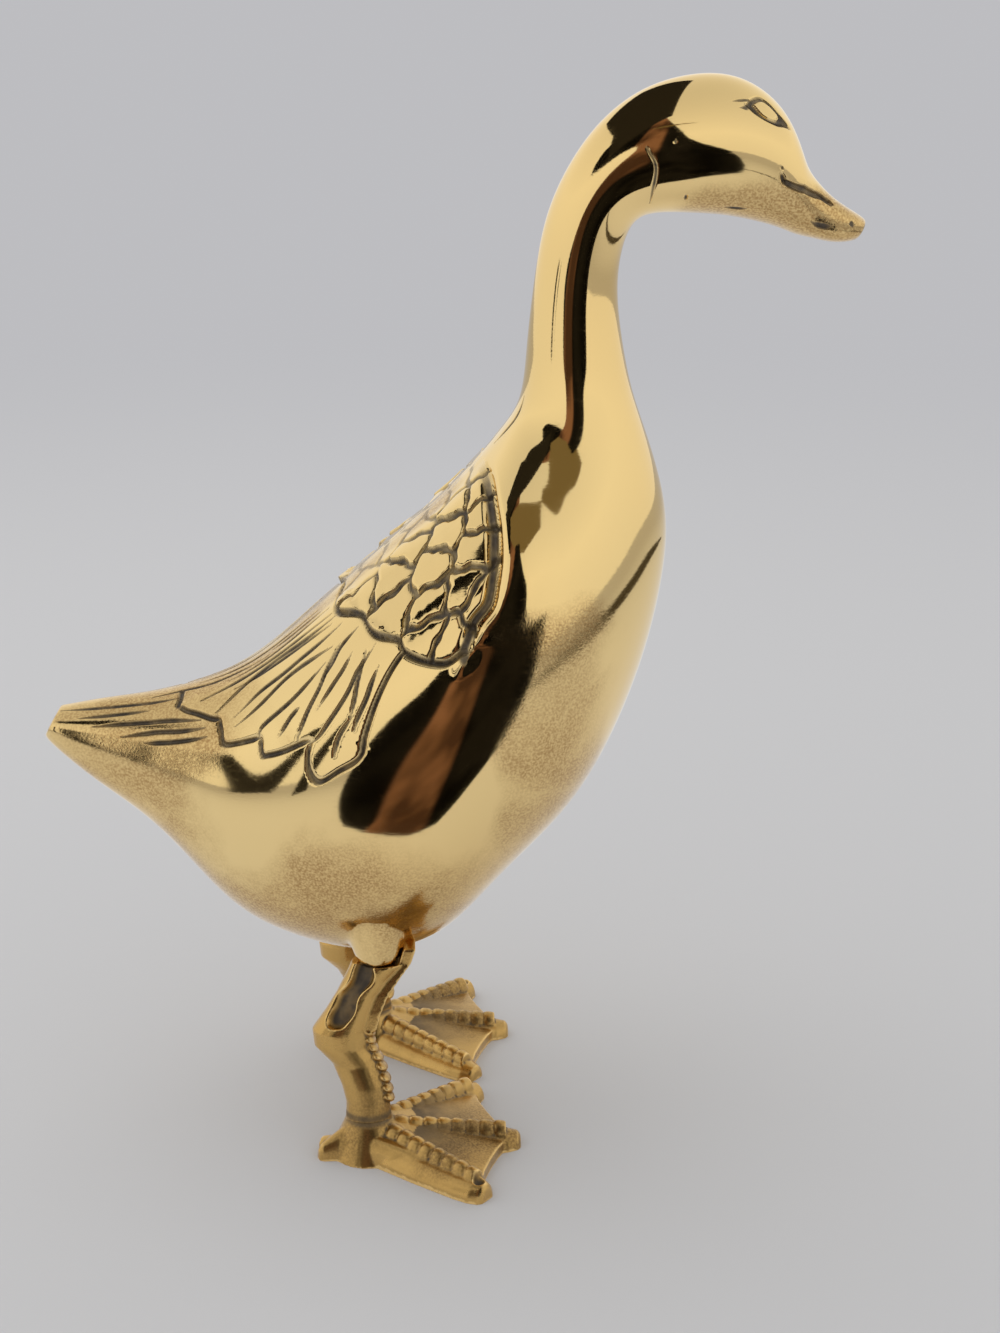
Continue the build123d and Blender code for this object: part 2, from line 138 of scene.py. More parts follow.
def shaped(piece):
    """The piece as its modifiers leave it."""
    bpy.context.view_layer.update()
    return piece.evaluated_get(bpy.context.evaluated_depsgraph_get())


def baked(piece):
    """The piece with its modifiers applied."""
    mesh = bpy.data.meshes.new_from_object(shaped(piece))
    piece.modifiers.clear()
    piece.data = mesh
    return piece


def softened(piece, rounds):
    """The piece with its modifiers applied and its surface evened out."""
    soft = piece.modifiers.new("soften", "SMOOTH")
    soft.factor = 0.5
    soft.iterations = rounds
    return baked(piece)


def ring_chain(bm, matrices, points):
    """Rings across a form, bridged into a tube that is closed at both ends."""
    loops = []
    for matrix in matrices:
        made = bmesh.ops.create_circle(bm, segments=points, radius=1, matrix=matrix)
        loops.append(made["verts"])
    edges = [list({edge for vertex in loop for edge in vertex.link_edges}) for loop in loops]
    for near, far in zip(edges, edges[1:]):
        bmesh.ops.bridge_loops(bm, edges=near + far)
    for end in (edges[0], edges[-1]):
        bmesh.ops.edgeloop_fill(bm, edges=end)
    bmesh.ops.recalc_face_normals(bm, faces=bm.faces)
    return loops


def seated_skin(piece, levels, rounds=3):
    """Moves the cage until its smooth skin passes through the cage's own first places."""
    places = [vertex.co.copy() for vertex in piece.data.vertices]
    skin = piece.modifiers.new("skin", "SUBSURF")
    skin.levels = 1
    for _ in range(rounds):
        drawn = [vertex.co.copy() for vertex in shaped(piece).data.vertices[:len(places)]]
        for vertex, place, now in zip(piece.data.vertices, places, drawn):
            vertex.co += place - now
        piece.data.update()
    skin.levels = levels
    return baked(piece)


def read_points(mesh):
    """Places and normals of a mesh's vertices."""
    tables = []
    for items, label in ((mesh.vertices, "co"), (mesh.vertex_normals, "vector")):
        values = np.zeros(len(items) * 3, np.float32)
        items.foreach_get(label, values)
        tables.append(values.reshape(-1, 3).astype(float))
    return tables


def write_points(mesh, places):
    mesh.vertices.foreach_set("co", places.astype(np.float32).ravel())
    mesh.update()


def read_layer(mesh, name):
    """The number that a mesh keeps for each vertex under a name."""
    values = np.zeros(len(mesh.vertices), np.float32)
    mesh.attributes[name].data.foreach_get("value", values)
    return values


def add_layer(mesh, name, values):
    layer = mesh.attributes.new(name, "FLOAT", "POINT")
    layer.data.foreach_set("value", values.astype(np.float32))


def sliced(bm, place, outward):
    """Cuts away what lies beyond a plane, and gives the edges of the cut."""
    whole = bm.verts[:] + bm.edges[:] + bm.faces[:]
    cut = bmesh.ops.bisect_plane(
        bm, geom=whole, dist=1e-7, plane_co=place, plane_no=outward, clear_outer=True
    )
    return [item for item in cut["geom_cut"] if isinstance(item, bmesh.types.BMEdge)]


def ease(low, high, value):
    """Smooth step from 0 at low to 1 at high."""
    share = np.clip((value - low) / (high - low), 0, 1)
    return share * share * (3 - 2 * share)


# Figure: one skin from tail to bill, carved, then parted into the castings

def side_point(along, up):
    return Vector(((along - 0.5) * LENGTH, 0, up * HEIGHT))


def section_matrix(row, scale=1.0, shift=0.0):
    """Matrix that turns a unit circle into a cross-section of the figure."""
    top, bottom = side_point(*row[:2]), side_point(*row[2:4])
    up = (top - bottom).normalized()
    across = Vector((0, 1, 0))
    ahead = across.cross(up)
    centre = (top + bottom) / 2 + ahead * shift
    matrix = Matrix.Identity(4)
    matrix.col[0].xyz = across * (row[4] / 2 * scale)
    matrix.col[1].xyz = up * ((top - bottom).length / 2 * scale)
    matrix.col[2].xyz = ahead
    matrix.translation = centre
    return matrix


def figure_skin():
    matrices = [section_matrix(SECTIONS[0], END_SCALE, TAIL_END_SHIFT)]
    matrices += [section_matrix(row) for row in SECTIONS]
    matrices += [section_matrix(SECTIONS[-1], END_SCALE, BILL_END_SHIFT)]
    bm = bmesh.new()
    back = bm.verts.layers.float.new("back")
    flank = bm.verts.layers.float.new("flank")
    loops = ring_chain(bm, matrices, RING_POINTS)
    squares = [0] * (len(SECTIONS) + 1 - len(BILL_SQUARES)) + BILL_SQUARES + [0]
    for loop, matrix, square in zip(loops, matrices, squares):
        for index, vertex in enumerate(loop):
            turn = 2 * pi * index / RING_POINTS
            swell = 1 + square * 0.5 * sin(2 * turn) ** 2
            vertex.co = matrix.translation + (vertex.co - matrix.translation) * swell
    along = 0.0
    for number, loop in enumerate(loops):
        if number:
            along += (loop[0].co - loops[number - 1][0].co).length
        half = RING_POINTS // 2
        for side in (1, -1):
            down = 0.0
            for step in range(half + 1):
                vertex = loop[side * step % RING_POINTS]
                if step:
                    down += (vertex.co - loop[side * (step - 1) % RING_POINTS].co).length
                vertex[flank] = down
                vertex[back] = along
    return seated_skin(new_piece("figure", bm), 3)


figure = figure_skin()


# Feathers and face, drawn on the skin in millimetres: the way along the ridge from the tail's
# end, and the way down the flank from the ridge

COVERTS = [
    (119.5, 15), (114, 12.5), (119, 22), (110, 18.5), (115.5, 28), (104.5, 24.5), (111, 34.5),
    (114, 39.5), (103, 32), (93, 17), (98.5, 12.5), (93, 26.5), (84, 15), (101.5, 38.5), (106, 42.5),
    (83, 8.5), (101, 7.5), (94.5, 4), (107.5, 4), (115, 5), (88.5, 1), (79, 2), (121, 7), (101, 0),
]
LIP = [
    (122.5, 1), (123.5, 8), (123.5, 16), (122.5, 23), (121.5, 29), (119.5, 36), (116.5, 42),
    (112.5, 44), (110, 48),
]
COVERT_EDGE = [
    (110, 48), (108, 47), (104.5, 46.5), (100, 43), (95.5, 38), (94, 34), (88.5, 29), (86.5, 26), (84, 20),
    (77, 13), (77, 6), (78.5, 0),
]
FLAP = (108.5, 49.5)
FLAP_REACH = (2.6, 2.2)
FLIGHT_EDGE = [
    (95, 37), (92, 38), (89, 40), (86, 43.5), (83.5, 48), (82, 52), (76.5, 51), (71.5, 50), (69, 46),
    (68.5, 42.5), (69, 39),
]
FLIGHT_STEPS = [
    [(69, 39), (62.5, 36.5), (57.5, 34), (55.5, 32.5), (54.5, 28)],
    [(54.5, 28), (48.5, 25.5), (44.5, 23.5), (43.5, 20), (42.5, 16.5)],
    [(42.5, 16.5), (40.5, 15.5), (36.5, 12.5), (33.5, 10.5), (31.5, 8.5)],
]
FLIGHT_AREA = FLIGHT_EDGE + [
    (62.5, 36.5), (55.5, 32.5), (54.5, 28), (44.5, 23.5), (42.5, 16.5), (36.5, 12.5), (31.5, 8.5),
    (40, 0), (77, 0), (84, 20), (94, 34),
]
FEATHER_CUTS = [
    [(76, 13.5), (67.5, 12.5), (57.5, 10.5), (49.5, 11), (42, 15)],
    [(78, 17.5), (70, 17.5), (61.5, 17), (53.5, 16.5), (47, 18.5)],
    [(75.5, 21.5), (68.5, 20), (61.5, 19), (54.5, 20), (47.5, 21)],
    [(73.5, 24), (67.5, 25.5), (63.5, 26), (55.5, 26), (54.5, 28)],
    [(83, 22.5), (78, 23.5), (75.5, 25.5), (72.5, 27.5)],
    [(81, 27.5), (78.5, 29.5), (75.5, 31), (71, 33.5)],
    [(77.5, 22.5), (74.5, 25), (71.5, 29), (68.5, 32), (66.5, 35), (65.5, 37)],
    [(66, 29.5), (63.5, 30), (60.5, 32)],
    [(87.5, 30), (85, 31.5), (82.5, 33), (80, 35.5), (77.5, 37), (74.5, 38.5), (71.5, 40), (68.5, 39.5)],
    [(88, 35.5), (86, 38), (84.5, 40.5), (82, 43.5), (81, 45.5)],
    [(80.5, 42), (78, 43), (76.5, 44.5), (75.5, 47.5)],
    [(85, 29.5), (82.5, 35), (81.5, 38.5), (80, 42)],
    [(11.5, 9), (20, 10), (28.5, 11.5), (37.5, 14.5)],
    [(18.5, 13), (25.5, 13.5), (32.5, 15.5), (39, 17)],
    [(24, 15.5), (30.5, 17.5), (39.5, 19.5)],
    [(46, 10.5), (55.5, 11.5), (64, 13), (75, 15)],
    [(37, 9.5), (44, 8.5), (51, 8.3), (59, 9.2), (67, 10.5), (75, 11.5)],
]
BACK_CUTS = [
    [(3, 2.5), (12, 4), (24, 5), (31.5, 5.7)],
    [(24, 3), (31, 2.8), (39, 3.8), (46.5, 4), (55.5, 5.5)],
    [(44, 6), (54, 6.5), (64, 7.5), (74, 8)],
    [(36, 1.2), (47, 1.8), (58, 2.4), (70, 3.5)],
    [(56, 4), (63, 5), (71, 5.8)],
    [(8, 6.2), (17, 7), (24, 7.4)],
    [(127, 3), (134, 4.5), (140, 4)],
]
BACK_MARK = [(31.5, 2.5), (31.5, 6), (31, 9)]
EYE = [
    (236.6, 11.6), (238.4, 9.4), (240.8, 7.4), (243.5, 7.2), (246.5, 7.9), (249.5, 7.8), (247, 9.8),
    (244.3, 11.6), (240.7, 12.7), (238, 12.6), (236.6, 11.6),
]
PUPIL = [(238.6, 10.8), (240.6, 8.8), (242.8, 8.5), (245.2, 9.2), (243.8, 11), (240.8, 11.9), (238.6, 10.8)]
MOUTH = [(246.8, 22.4), (249, 21.2), (252.7, 18.5), (259, 13.4), (264.5, 9.5), (268, 8.3), (270.5, 7.6)]
JAW = [(208.7, 15.4), (209.0, 18.5), (208.5, 20.7), (206.5, 22.5), (203.3, 24.2), (199.9, 25.8)]
MOUTH_PIT = (246.6, 22)
# Small dents, each with its width and depth
DENTS = [
    ([(212.6, 32.2), (213.8, 31)], 1.3, 0.2),
    ([(226, 38), (229.5, 37.6), (233.5, 36.8)], 1.2, 0.2),
    ([(262, 17.6), (266.5, 15), (271, 12.2)], 1.6, 0.16),
    ([(275.6, 9), (277, 8.1)], 1.5, 0.15),
    ([(245.7, 20.4), (246, 19.6)], 0.9, 0.3),
    ([(233, 11.6), (235.5, 10.8), (238, 9.8)], 0.8, 0.3),
    ([(234.6, 12.8), (236.2, 12.4), (236, 11.4)], 1.2, 0.3),
    ([(216.2, 18.6), (216.6, 18.8)], 1.2, 0.25),
]


def smooth_line(points, steps=5):
    """Close places along a smooth line through the given ones."""
    rows = [np.array(point, float) for point in [points[0], *points, points[-1]]]
    line = []
    for before, start, end, after in zip(rows, rows[1:], rows[2:], rows[3:]):
        for step in range(steps):
            way = step / steps
            bend = (end - before) * way + (2 * before - 5 * start + 4 * end - after) * way ** 2
            bend = bend + (3 * start - before - 3 * end + after) * way ** 3
            line.append(start + bend / 2)
    return np.array(line + [rows[-1]])


def line_gap(spots, line, reach=9):
    """Gap from each spot to a line, the share of the way along it, and the side it lies on."""
    gap = np.full(len(spots), 99.0)
    along = np.zeros(len(spots))
    side = np.ones(len(spots))
    low, high = line.min(0) - reach, line.max(0) + reach
    close = np.flatnonzero(((spots > low) & (spots < high)).all(1))
    for number, (start, end) in enumerate(zip(line, line[1:])):
        way = end - start
        if not way.any():
            continue
        offset = spots[close] - start
        share = np.clip(offset @ way / (way @ way), 0, 1)
        off = np.linalg.norm(offset - share[:, None] * way, axis=1)
        nearer = off < gap[close]
        chosen = close[nearer]
        gap[chosen] = off[nearer]
        along[chosen] = (number + share[nearer]) / (len(line) - 1)
        side[chosen] = np.sign(way[0] * offset[nearer, 1] - way[1] * offset[nearer, 0])
    return gap, along, side


def inside(spots, outline):
    """Which spots lie inside a closed outline."""
    within = np.zeros(len(spots), bool)
    for (x, y), (next_x, next_y) in zip(outline, outline[1:] + outline[:1]):
        if y == next_y:
            continue
        crosses = (y > spots[:, 1]) != (next_y > spots[:, 1])
        within ^= crosses & (spots[:, 0] < x + (spots[:, 1] - y) * (next_x - x) / (next_y - y))
    return within


class Carving:
    """Height of the carved surface over the smooth skin, its dark in the cuts, and how near
    each spot is to a cut."""

    def __init__(self, spots):
        self.spots = spots
        self.height = np.zeros(len(spots))
        self.dark = np.zeros(len(spots))
        self.near = np.full(len(spots), 99.0)

    def mark(self, dark, near):
        self.dark = np.maximum(self.dark, dark)
        self.near = np.minimum(self.near, near)

    def cut(self, points, width, depth, taper=0.3, floor=0.3):
        """A graver's cut along a smooth line, thin and shallow at its ends."""
        gap, along, _ = line_gap(self.spots, smooth_line(points))
        fade = np.minimum(ease(0, taper, along), ease(0, taper, 1 - along)) if taper else 1
        half = width / 2 * (0.3 + 0.7 * fade)
        profile = 1 - ease(floor, 1, gap / half)
        self.height -= profile * depth * (0.45 + 0.55 * fade)
        self.mark((1 - ease(0.45, 1.15, gap / half)) * (0.55 + 0.45 * fade), gap)

    def coverts(self):
        """Covert feathers as flat pads with deep joints, each at its own tilt."""
        field = np.flatnonzero(inside(self.spots, LIP + COVERT_EDGE[1:]))
        spots = self.spots[field]
        spots = spots + 0.35 * np.sin(spots[:, ::-1] * 1.1 + (0.4, 2.0)) + 0.15 * np.sin(spots * 2.7)
        centres = np.array(COVERTS, float)
        gaps = np.linalg.norm(spots[:, None] - centres[None], axis=2)
        own = gaps.argmin(1)
        to_own = gaps[np.arange(len(field)), own]
        apart = np.linalg.norm(centres[own][:, None] - centres[None], axis=2)
        joints = (gaps ** 2 - to_own[:, None] ** 2) / (2 * apart + 1e-9)
        joints[np.arange(len(field)), own] = np.inf
        joint = joints.min(1)
        seeds = np.random.default_rng(7)
        tilt = seeds.normal(0, 0.035, centres.shape) + (-0.05, 0.02)
        lift = seeds.normal(0, 0.1, len(centres))
        leaning = ((spots - centres[own]) * tilt[own]).sum(1) + lift[own]
        pad = ease(0.2, 1.05, joint)
        side = ease(4, 14, self.spots[field, 1])
        self.height[field] += (0.75 + pad * (0.25 + leaning) - (1 - pad) * 0.75) * (0.06 + 0.94 * side)
        self.dark[field] = np.maximum(self.dark[field], (1 - ease(0.35, 0.95, joint)) * (0.6 + 0.4 * side))
        self.near[field] = np.minimum(self.near[field], joint)

    def shoulder(self):
        """Smooth raised lip in front of the coverts, with a deep recess behind it."""
        gap, along, side = line_gap(self.spots, smooth_line(LIP), 14)
        ahead = np.where(side < 0, gap, -gap)
        fade = ease(0.1, 0.4, along) * (1 - ease(0.9, 0.99, along)) * (gap < 13)
        roll = ease(-1.2, 2.4, ahead) * (1 - ease(2.4, 12, ahead))
        recess = (1 - ease(-1.4, 1.2, ahead)) * ease(-3.4, -1.9, ahead)
        self.height += (roll * 1.5 - recess * 1.5) * fade
        # Painted shade: the recess behind the lip is darkened through the dark layer
        shade = ease(0.45, 0.95, recess) * ease(0.08, 0.3, along) * (gap < 4)
        self.mark(shade, np.where(gap < 3.6, 0.25 + gap / 12, gap - 2))
        flap = np.linalg.norm((self.spots - FLAP) / FLAP_REACH, axis=1)
        self.height += 0.9 * (1 - ease(0.0, 1.5, flap))
        self.mark(0, flap * 0.8)

    def flight(self):
        """Flight feathers raised inside their stepped edge, with the cuts between them."""
        edge = smooth_line(FLIGHT_EDGE + [point for step in FLIGHT_STEPS for point in step[1:]])
        gap, _, _ = line_gap(self.spots, edge)
        raised = inside(self.spots, FLIGHT_AREA) * ease(0.0, 0.9, gap) * ease(3, 12, self.spots[:, 1])
        self.height += raised * 0.55
        self.mark(0, gap)
        self.cut(FLIGHT_EDGE, width=1.5, depth=0.7, taper=0.06)
        for step in FLIGHT_STEPS:
            self.cut(step, width=1.4, depth=0.65, taper=0.1)

    def eye(self):
        """Almond eye cut into the head, with a raised lozenge for the pupil."""
        rim, _, _ = line_gap(self.spots, smooth_line(EYE))
        ball, _, _ = line_gap(self.spots, smooth_line(PUPIL))
        within = inside(self.spots, EYE)
        pupil = inside(self.spots, PUPIL)
        bowl = np.where(within, ease(-0.4, 0.7, rim), 1 - ease(0, 0.55, rim))
        lozenge = np.where(pupil, 1.0, 1 - ease(0, 0.5, ball))
        bowl = np.where(within | (rim < 0.55), bowl, 0)
        self.height += -0.75 * bowl * (1 - lozenge) + lozenge * 0.1
        ring = np.where(within, 1, 1 - ease(0, 0.45, rim)) * np.where(pupil, 0, ease(0.1, 0.55, ball))
        self.mark(ring, np.minimum(rim, ball))


def carved(spots):
    """The whole carving, in millimetres."""
    carving = Carving(spots)
    carving.coverts()
    carving.shoulder()
    carving.cut(COVERT_EDGE, width=1.7, depth=0.9, taper=0.05, floor=0.2)
    carving.flight()
    for line in FEATHER_CUTS:
        carving.cut(line, width=1.5, depth=0.62, taper=0.3, floor=0.15)
    for line in BACK_CUTS:
        carving.cut(line, width=1.2, depth=0.4, taper=0.35, floor=0.1)
    carving.cut(BACK_MARK, width=1.6, depth=0.6, taper=0.2)
    carving.cut(JAW, width=1.1, depth=0.3, taper=0.35, floor=0.1)
    carving.eye()
    carving.cut(MOUTH, width=1.7, depth=0.8, taper=0.1, floor=0.35)
    pit = np.linalg.norm(spots - MOUTH_PIT, axis=1)
    carving.height -= 0.7 * (1 - ease(0.3, 1.6, pit))
    carving.mark(1 - ease(0.6, 1.5, pit), np.inf)
    for line, width, depth in DENTS:
        carving.cut(line, width, depth, taper=0.4, floor=0.1)
    return carving


def skin_spots(mesh):
    """Where each vertex lies on the skin, in millimetres along the ridge and down the flank."""
    return np.stack([read_layer(mesh, name).astype(float) / MM for name in ("back", "flank")], 1)


BOSS_TOP = HIP.z + 12 * MM
BOSS_RADIUS = 6 * MM
BOSS_FACE = 4.6 * MM
BOSS_FOOT = 7.4 * MM


def boss_reach(places):
    """How far each place lies from the axis of the nearer hip boss."""
    return np.hypot(places[:, 0] - HIP.x, np.abs(places[:, 1]) - HIP.y)


def refine(mesh, reach):
    """Splits the faces that lie within reach of a cut or of a hip boss."""
    near = carved(skin_spots(mesh)).near * MM
    places, _ = read_points(mesh)
    low = places[:, 2] < BOSS_TOP
    near = np.where(low, np.minimum(near, np.maximum(boss_reach(places) - BOSS_RADIUS, 0)), near)
    bm = opened(mesh)
    edges = set()
    for face in bm.faces:
        if min(near[vertex.index] for vertex in face.verts) < reach:
            edges.update(face.edges)
    bmesh.ops.subdivide_edges(bm, edges=list(edges), cuts=1, use_grid_fill=True)
    bm.to_mesh(mesh)
    bm.free()


def carve_figure():
    """Carves the skin and draws its underside down to the flat faces of the hip bosses."""
    mesh = figure.data
    refine(mesh, 2.0 * MM)
    refine(mesh, 0.95 * MM)
    carving = carved(skin_spots(mesh))
    places, normals = read_points(mesh)
    places += normals * carving.height[:, None] * MM
    below = (normals[:, 2] < 0) & (places[:, 2] < BOSS_TOP)
    pull = (1 - ease(BOSS_FACE, BOSS_FOOT, boss_reach(places))) * below
    places[:, 2] += (HIP.z - places[:, 2]) * pull
    write_points(mesh, places)
    add_layer(mesh, "dark", carving.dark)


carve_figure()


def parted(name, cuts):
    """Part of the figure inside the cuts, closed with flat faces where it is cut."""
    bm = bmesh.new()
    skin = [bm.verts.layers.float.new(f"skin_{axis}") for axis in "xyz"]
    bm.from_mesh(figure.data)
    bm.normal_update()
    for vertex in bm.verts:
        for layer, value in zip(skin, vertex.normal):
            vertex[layer] = value
    for place, outward in cuts:
        rim = [edge for edge in sliced(bm, place, outward) if edge.is_boundary]
        filled = bmesh.ops.edgenet_fill(bm, edges=rim)
        for face in filled["faces"]:
            face.material_index = 1
            face.smooth = False
            if face.normal.dot(outward) < 0:
                face.normal_flip()
    bmesh.ops.triangulate(bm, faces=[face for face in bm.faces if face.material_index == 1])
    piece = new_piece(name, bm)
    mesh = piece.data
    wanted = np.stack([read_layer(mesh, f"skin_{axis}") for axis in "xyz"], 1)
    corners = np.zeros(len(mesh.loops), np.int32)
    mesh.loops.foreach_get("vertex_index", corners)
    directions = wanted[corners]
    for face in mesh.polygons:
        if face.material_index == 1:
            for corner in face.loop_indices:
                directions[corner] = face.normal
    for axis in "xyz":
        mesh.attributes.remove(mesh.attributes[f"skin_{axis}"])
    mesh.normals_split_custom_set([tuple(direction) for direction in directions])
    return piece


def collar_cut(lift, outward):
    """Plane across the collar, as a place on it and the way out."""
    matrix = section_matrix(SECTIONS[COLLAR_ROW], shift=lift)
    return matrix.translation, matrix.col[2].xyz * outward


def seam_cut(side, outward):
    """Plane along the seam, on one side of its braze."""
    return Vector((0, side * SEAM / 2, 0)), Vector((0, outward, 0))


LEFT, NOT_LEFT = seam_cut(1, -1), seam_cut(1, 1)
RIGHT, NOT_RIGHT = seam_cut(-1, 1), seam_cut(-1, -1)
BELOW_COLLAR = collar_cut(0, 1)
ABOVE_COLLAR = collar_cut(0, -1)
BELOW_NECK = collar_cut(SEAM, 1)
ABOVE_NECK = collar_cut(SEAM, -1)

castings = {
    "body_left_half": (LEFT, BELOW_COLLAR),
    "body_right_half": (RIGHT, BELOW_COLLAR),
    "body_seam_braze": (NOT_LEFT, NOT_RIGHT, BELOW_COLLAR),
    "neck_left_half": (LEFT, ABOVE_NECK),
    "neck_right_half": (RIGHT, ABOVE_NECK),
    "neck_seam_braze": (NOT_LEFT, NOT_RIGHT, ABOVE_NECK),
    "neck_joint_braze": (ABOVE_COLLAR, BELOW_NECK),
}
pieces = {}
for node, cuts in castings.items():
    pieces[node] = parted("cast_" + node, cuts)
bpy.data.objects.remove(figure)


# Legs and feet

def leg_matrix(row):
    """Matrix that turns a unit circle into a cross-section of the leg."""
    up, ahead, inward, depth, width = row
    matrix = Matrix.Identity(4)
    matrix.col[0].xyz = Vector((0, width * LEG_WIDTH / 2, 0))
    matrix.col[1].xyz = Vector((depth * HOCK_DEPTH / 2, 0, 0))
    matrix.translation = Vector((
        ANKLE.x + ahead * LEG_HEIGHT,
        ANKLE.y + inward * (HIP.y - ANKLE.y),
        ANKLE.z + up * LEG_HEIGHT,
    ))
    return matrix


def joined_casting(name, bm, grain, rounds):
    """Overlapping closed forms run together into one casting with soft inner corners."""
    piece = new_piece(name, bm)
    run = piece.modifiers.new("run together", "REMESH")
    run.mode = "VOXEL"
    run.voxel_size = grain
    return softened(piece, rounds)


def mirrored(piece, name):
    """Copy of a left piece for the right side."""
    bm = opened(piece.data)
    bmesh.ops.scale(bm, vec=(1, -1, 1), verts=bm.verts)
    bmesh.ops.reverse_faces(bm, faces=bm.faces)
    return new_piece(name, bm)


def upright(place, turn, wide, high):
    """Matrix of a ring that stands across a way along the floor."""
    matrix = Matrix.Identity(4)
    matrix.col[0].xyz = Vector((-sin(turn), cos(turn), 0)) * wide
    matrix.col[1].xyz = Vector((0, 0, high))
    matrix.col[2].xyz = Vector((cos(turn), sin(turn), 0))
    matrix.translation = place
    return matrix


def flat_bar(bm, matrices):
    """Bar through a row of square sections."""
    square = Matrix.Rotation(pi / 4, 4, "Z") @ Matrix.Diagonal((2 ** 0.5, 2 ** 0.5, 1, 1))
    ring_chain(bm, [matrix @ square for matrix in matrices], 4)


HOCK_ROW = 6
THIGH_FOOT = leg_matrix(LEG_SECTIONS[HOCK_ROW]).translation
THIGH = leg_matrix(LEG_SECTIONS[-1]).translation - THIGH_FOOT
STRIP_TOP = (1.09, 0.137, 1.00, 1.00, 1.00)
STRIP_WIDTH = 6.4 * MM
STRIP_THICKNESS = 3 * MM
STRIP_LEAN = 1.6 * MM
STRIP_LEAN_START = 0.85
SHANK_SCUTE = (1.9 * MM, 3.6 * MM, 1.1 * MM, 1)
SHANK_SCUTE_DEPTH = 0.3 * MM
SCUTES_A_SECTION = 2
TROUGH_TURN = radians(50)
TROUGH_MIDDLE = THIGH_FOOT + THIGH * 0.48
TROUGH_HALF_LENGTH = 6.6 * MM
TROUGH_FLOOR = 1.2 * MM
TROUGH_RIM = 2.9 * MM
TROUGH_DEPTH = 2.4 * MM
TROUGH_WAVES = 0.45 * MM
JOINT_SHADE = 0.8


def thigh_strip(bm):
    """Flat strip down the front of the thigh, which leans back at the boss."""
    matrices = []
    for row in LEG_SECTIONS[HOCK_ROW:] + [STRIP_TOP]:
        matrix = leg_matrix(row)
        lean = STRIP_LEAN * max(row[0] - STRIP_LEAN_START, 0) / (STRIP_TOP[0] - STRIP_LEAN_START)
        matrix.col[0].xyz = Vector((0, STRIP_WIDTH / 2, 0))
        matrix.col[1].xyz = Vector((STRIP_THICKNESS / 2, 0, 0))
        matrix.translation += Vector((row[3] * HOCK_DEPTH / 2 - lean, 0, 0))
        matrices.append(matrix)
    flat_bar(bm, matrices)


def shank_scutes(bm):
    """Horny scales in a row down the front of the shank."""
    shape = Matrix.Rotation(radians(14), 4, "X") @ Matrix.Rotation(radians(30), 4, "Y")
    shape = shape @ Matrix.Diagonal(SHANK_SCUTE)
    for near, far in zip(LEG_SECTIONS[2:HOCK_ROW], LEG_SECTIONS[3:HOCK_ROW + 1]):
        for step in range(SCUTES_A_SECTION):
            share = (step + 0.5) / SCUTES_A_SECTION
            row = [a + (b - a) * share for a, b in zip(near, far)]
            front = Vector((row[3] * HOCK_DEPTH / 2 - SHANK_SCUTE_DEPTH, 0, 0))
            place = Matrix.Translation(leg_matrix(row).translation + front)
            bmesh.ops.create_uvsphere(bm, u_segments=16, v_segments=10, radius=1, matrix=place @ shape)


def thigh_trough(places, normals):
    """Way into the thigh's open trough, and how deep in it each place lies."""
    along = THIGH.normalized()
    out = Vector((-cos(TROUGH_TURN), sin(TROUGH_TURN), 0))
    out = (out - along * out.dot(along)).normalized()
    offset = places - np.array(TROUGH_MIDDLE)
    offset = offset + TROUGH_WAVES * np.sin(offset[:, [2, 0, 1]] * 900 + (0.5, 1.3, 2.6))
    beyond = np.maximum(np.abs(offset @ np.array(along)) - TROUGH_HALF_LENGTH, 0)
    rim = np.hypot(beyond, offset @ np.array(along.cross(out)))
    facing = ease(0.05, 0.35, normals @ np.array(out))
    return np.array(out), (1 - ease(TROUGH_FLOOR, TROUGH_RIM, rim)) * facing


def joint_shade(places, level, reach):
    """How dark each place is with painted shade in the joint of leg and foot, around a level."""
    return JOINT_SHADE - JOINT_SHADE * ease(0.2 * MM, reach, np.abs(places[:, 2] - level))


def left_leg_casting():
    """The left leg, and how dark each of its vertices is with painted shade in its trough and at the ankle
    joint.
    """
    bm = bmesh.new()
    ring_chain(bm, [leg_matrix(row) for row in LEG_SECTIONS], 24)
    thigh_strip(bm)
    shank_scutes(bm)
    bmesh.ops.recalc_face_normals(bm, faces=bm.faces)
    piece = joined_casting("cast_left_leg", bm, 0.3 * MM, 4)
    places, normals = read_points(piece.data)
    out, depth = thigh_trough(places, normals)
    places -= out * depth[:, None] * TROUGH_DEPTH
    write_points(piece.data, places)
    joint = joint_shade(places, ANKLE.z + 0.8 * MM, 1.3 * MM)
    # Painted shade: darkest deep in the thigh's trough and in a band at the ankle joint
    return piece, np.maximum(ease(0.35, 0.95, depth), joint)


pits = {}
pieces["left_leg"], pits["leg"] = left_leg_casting()
pieces["right_leg"] = mirrored(pieces["left_leg"], "cast_right_leg")


TOE_LENGTH = 37 * MM
TOE_SPREAD = radians(41.5)
TOE_HEIGHT = 5.6 * MM
TOE_WIDTH = 7.6 * MM
HEEL_LENGTH = 13 * MM
HEEL_TURN = pi - radians(20)
# Sections of a toe and of the heel: the share of the way out, the width and the height
TOE_SECTIONS = [
    (0.00, 1.50, 1.05), (0.22, 1.52, 0.92), (0.50, 1.42, 0.78), (0.80, 1.22, 0.72),
    (0.91, 1.05, 0.70), (0.975, 0.78, 0.62), (0.995, 0.50, 0.45),
]
HEEL_SECTIONS = [
    (0.0, 1.5, 1.6), (0.35, 1.2, 1.45), (0.7, 0.72, 1.0), (0.93, 0.44, 0.7), (1.0, 0.22, 0.45),
]
OUTER_TOE_RISE = 0.12
OUTER_RIDGE_SHIFT = 0.9 * MM
TOE_SCUTES = 8
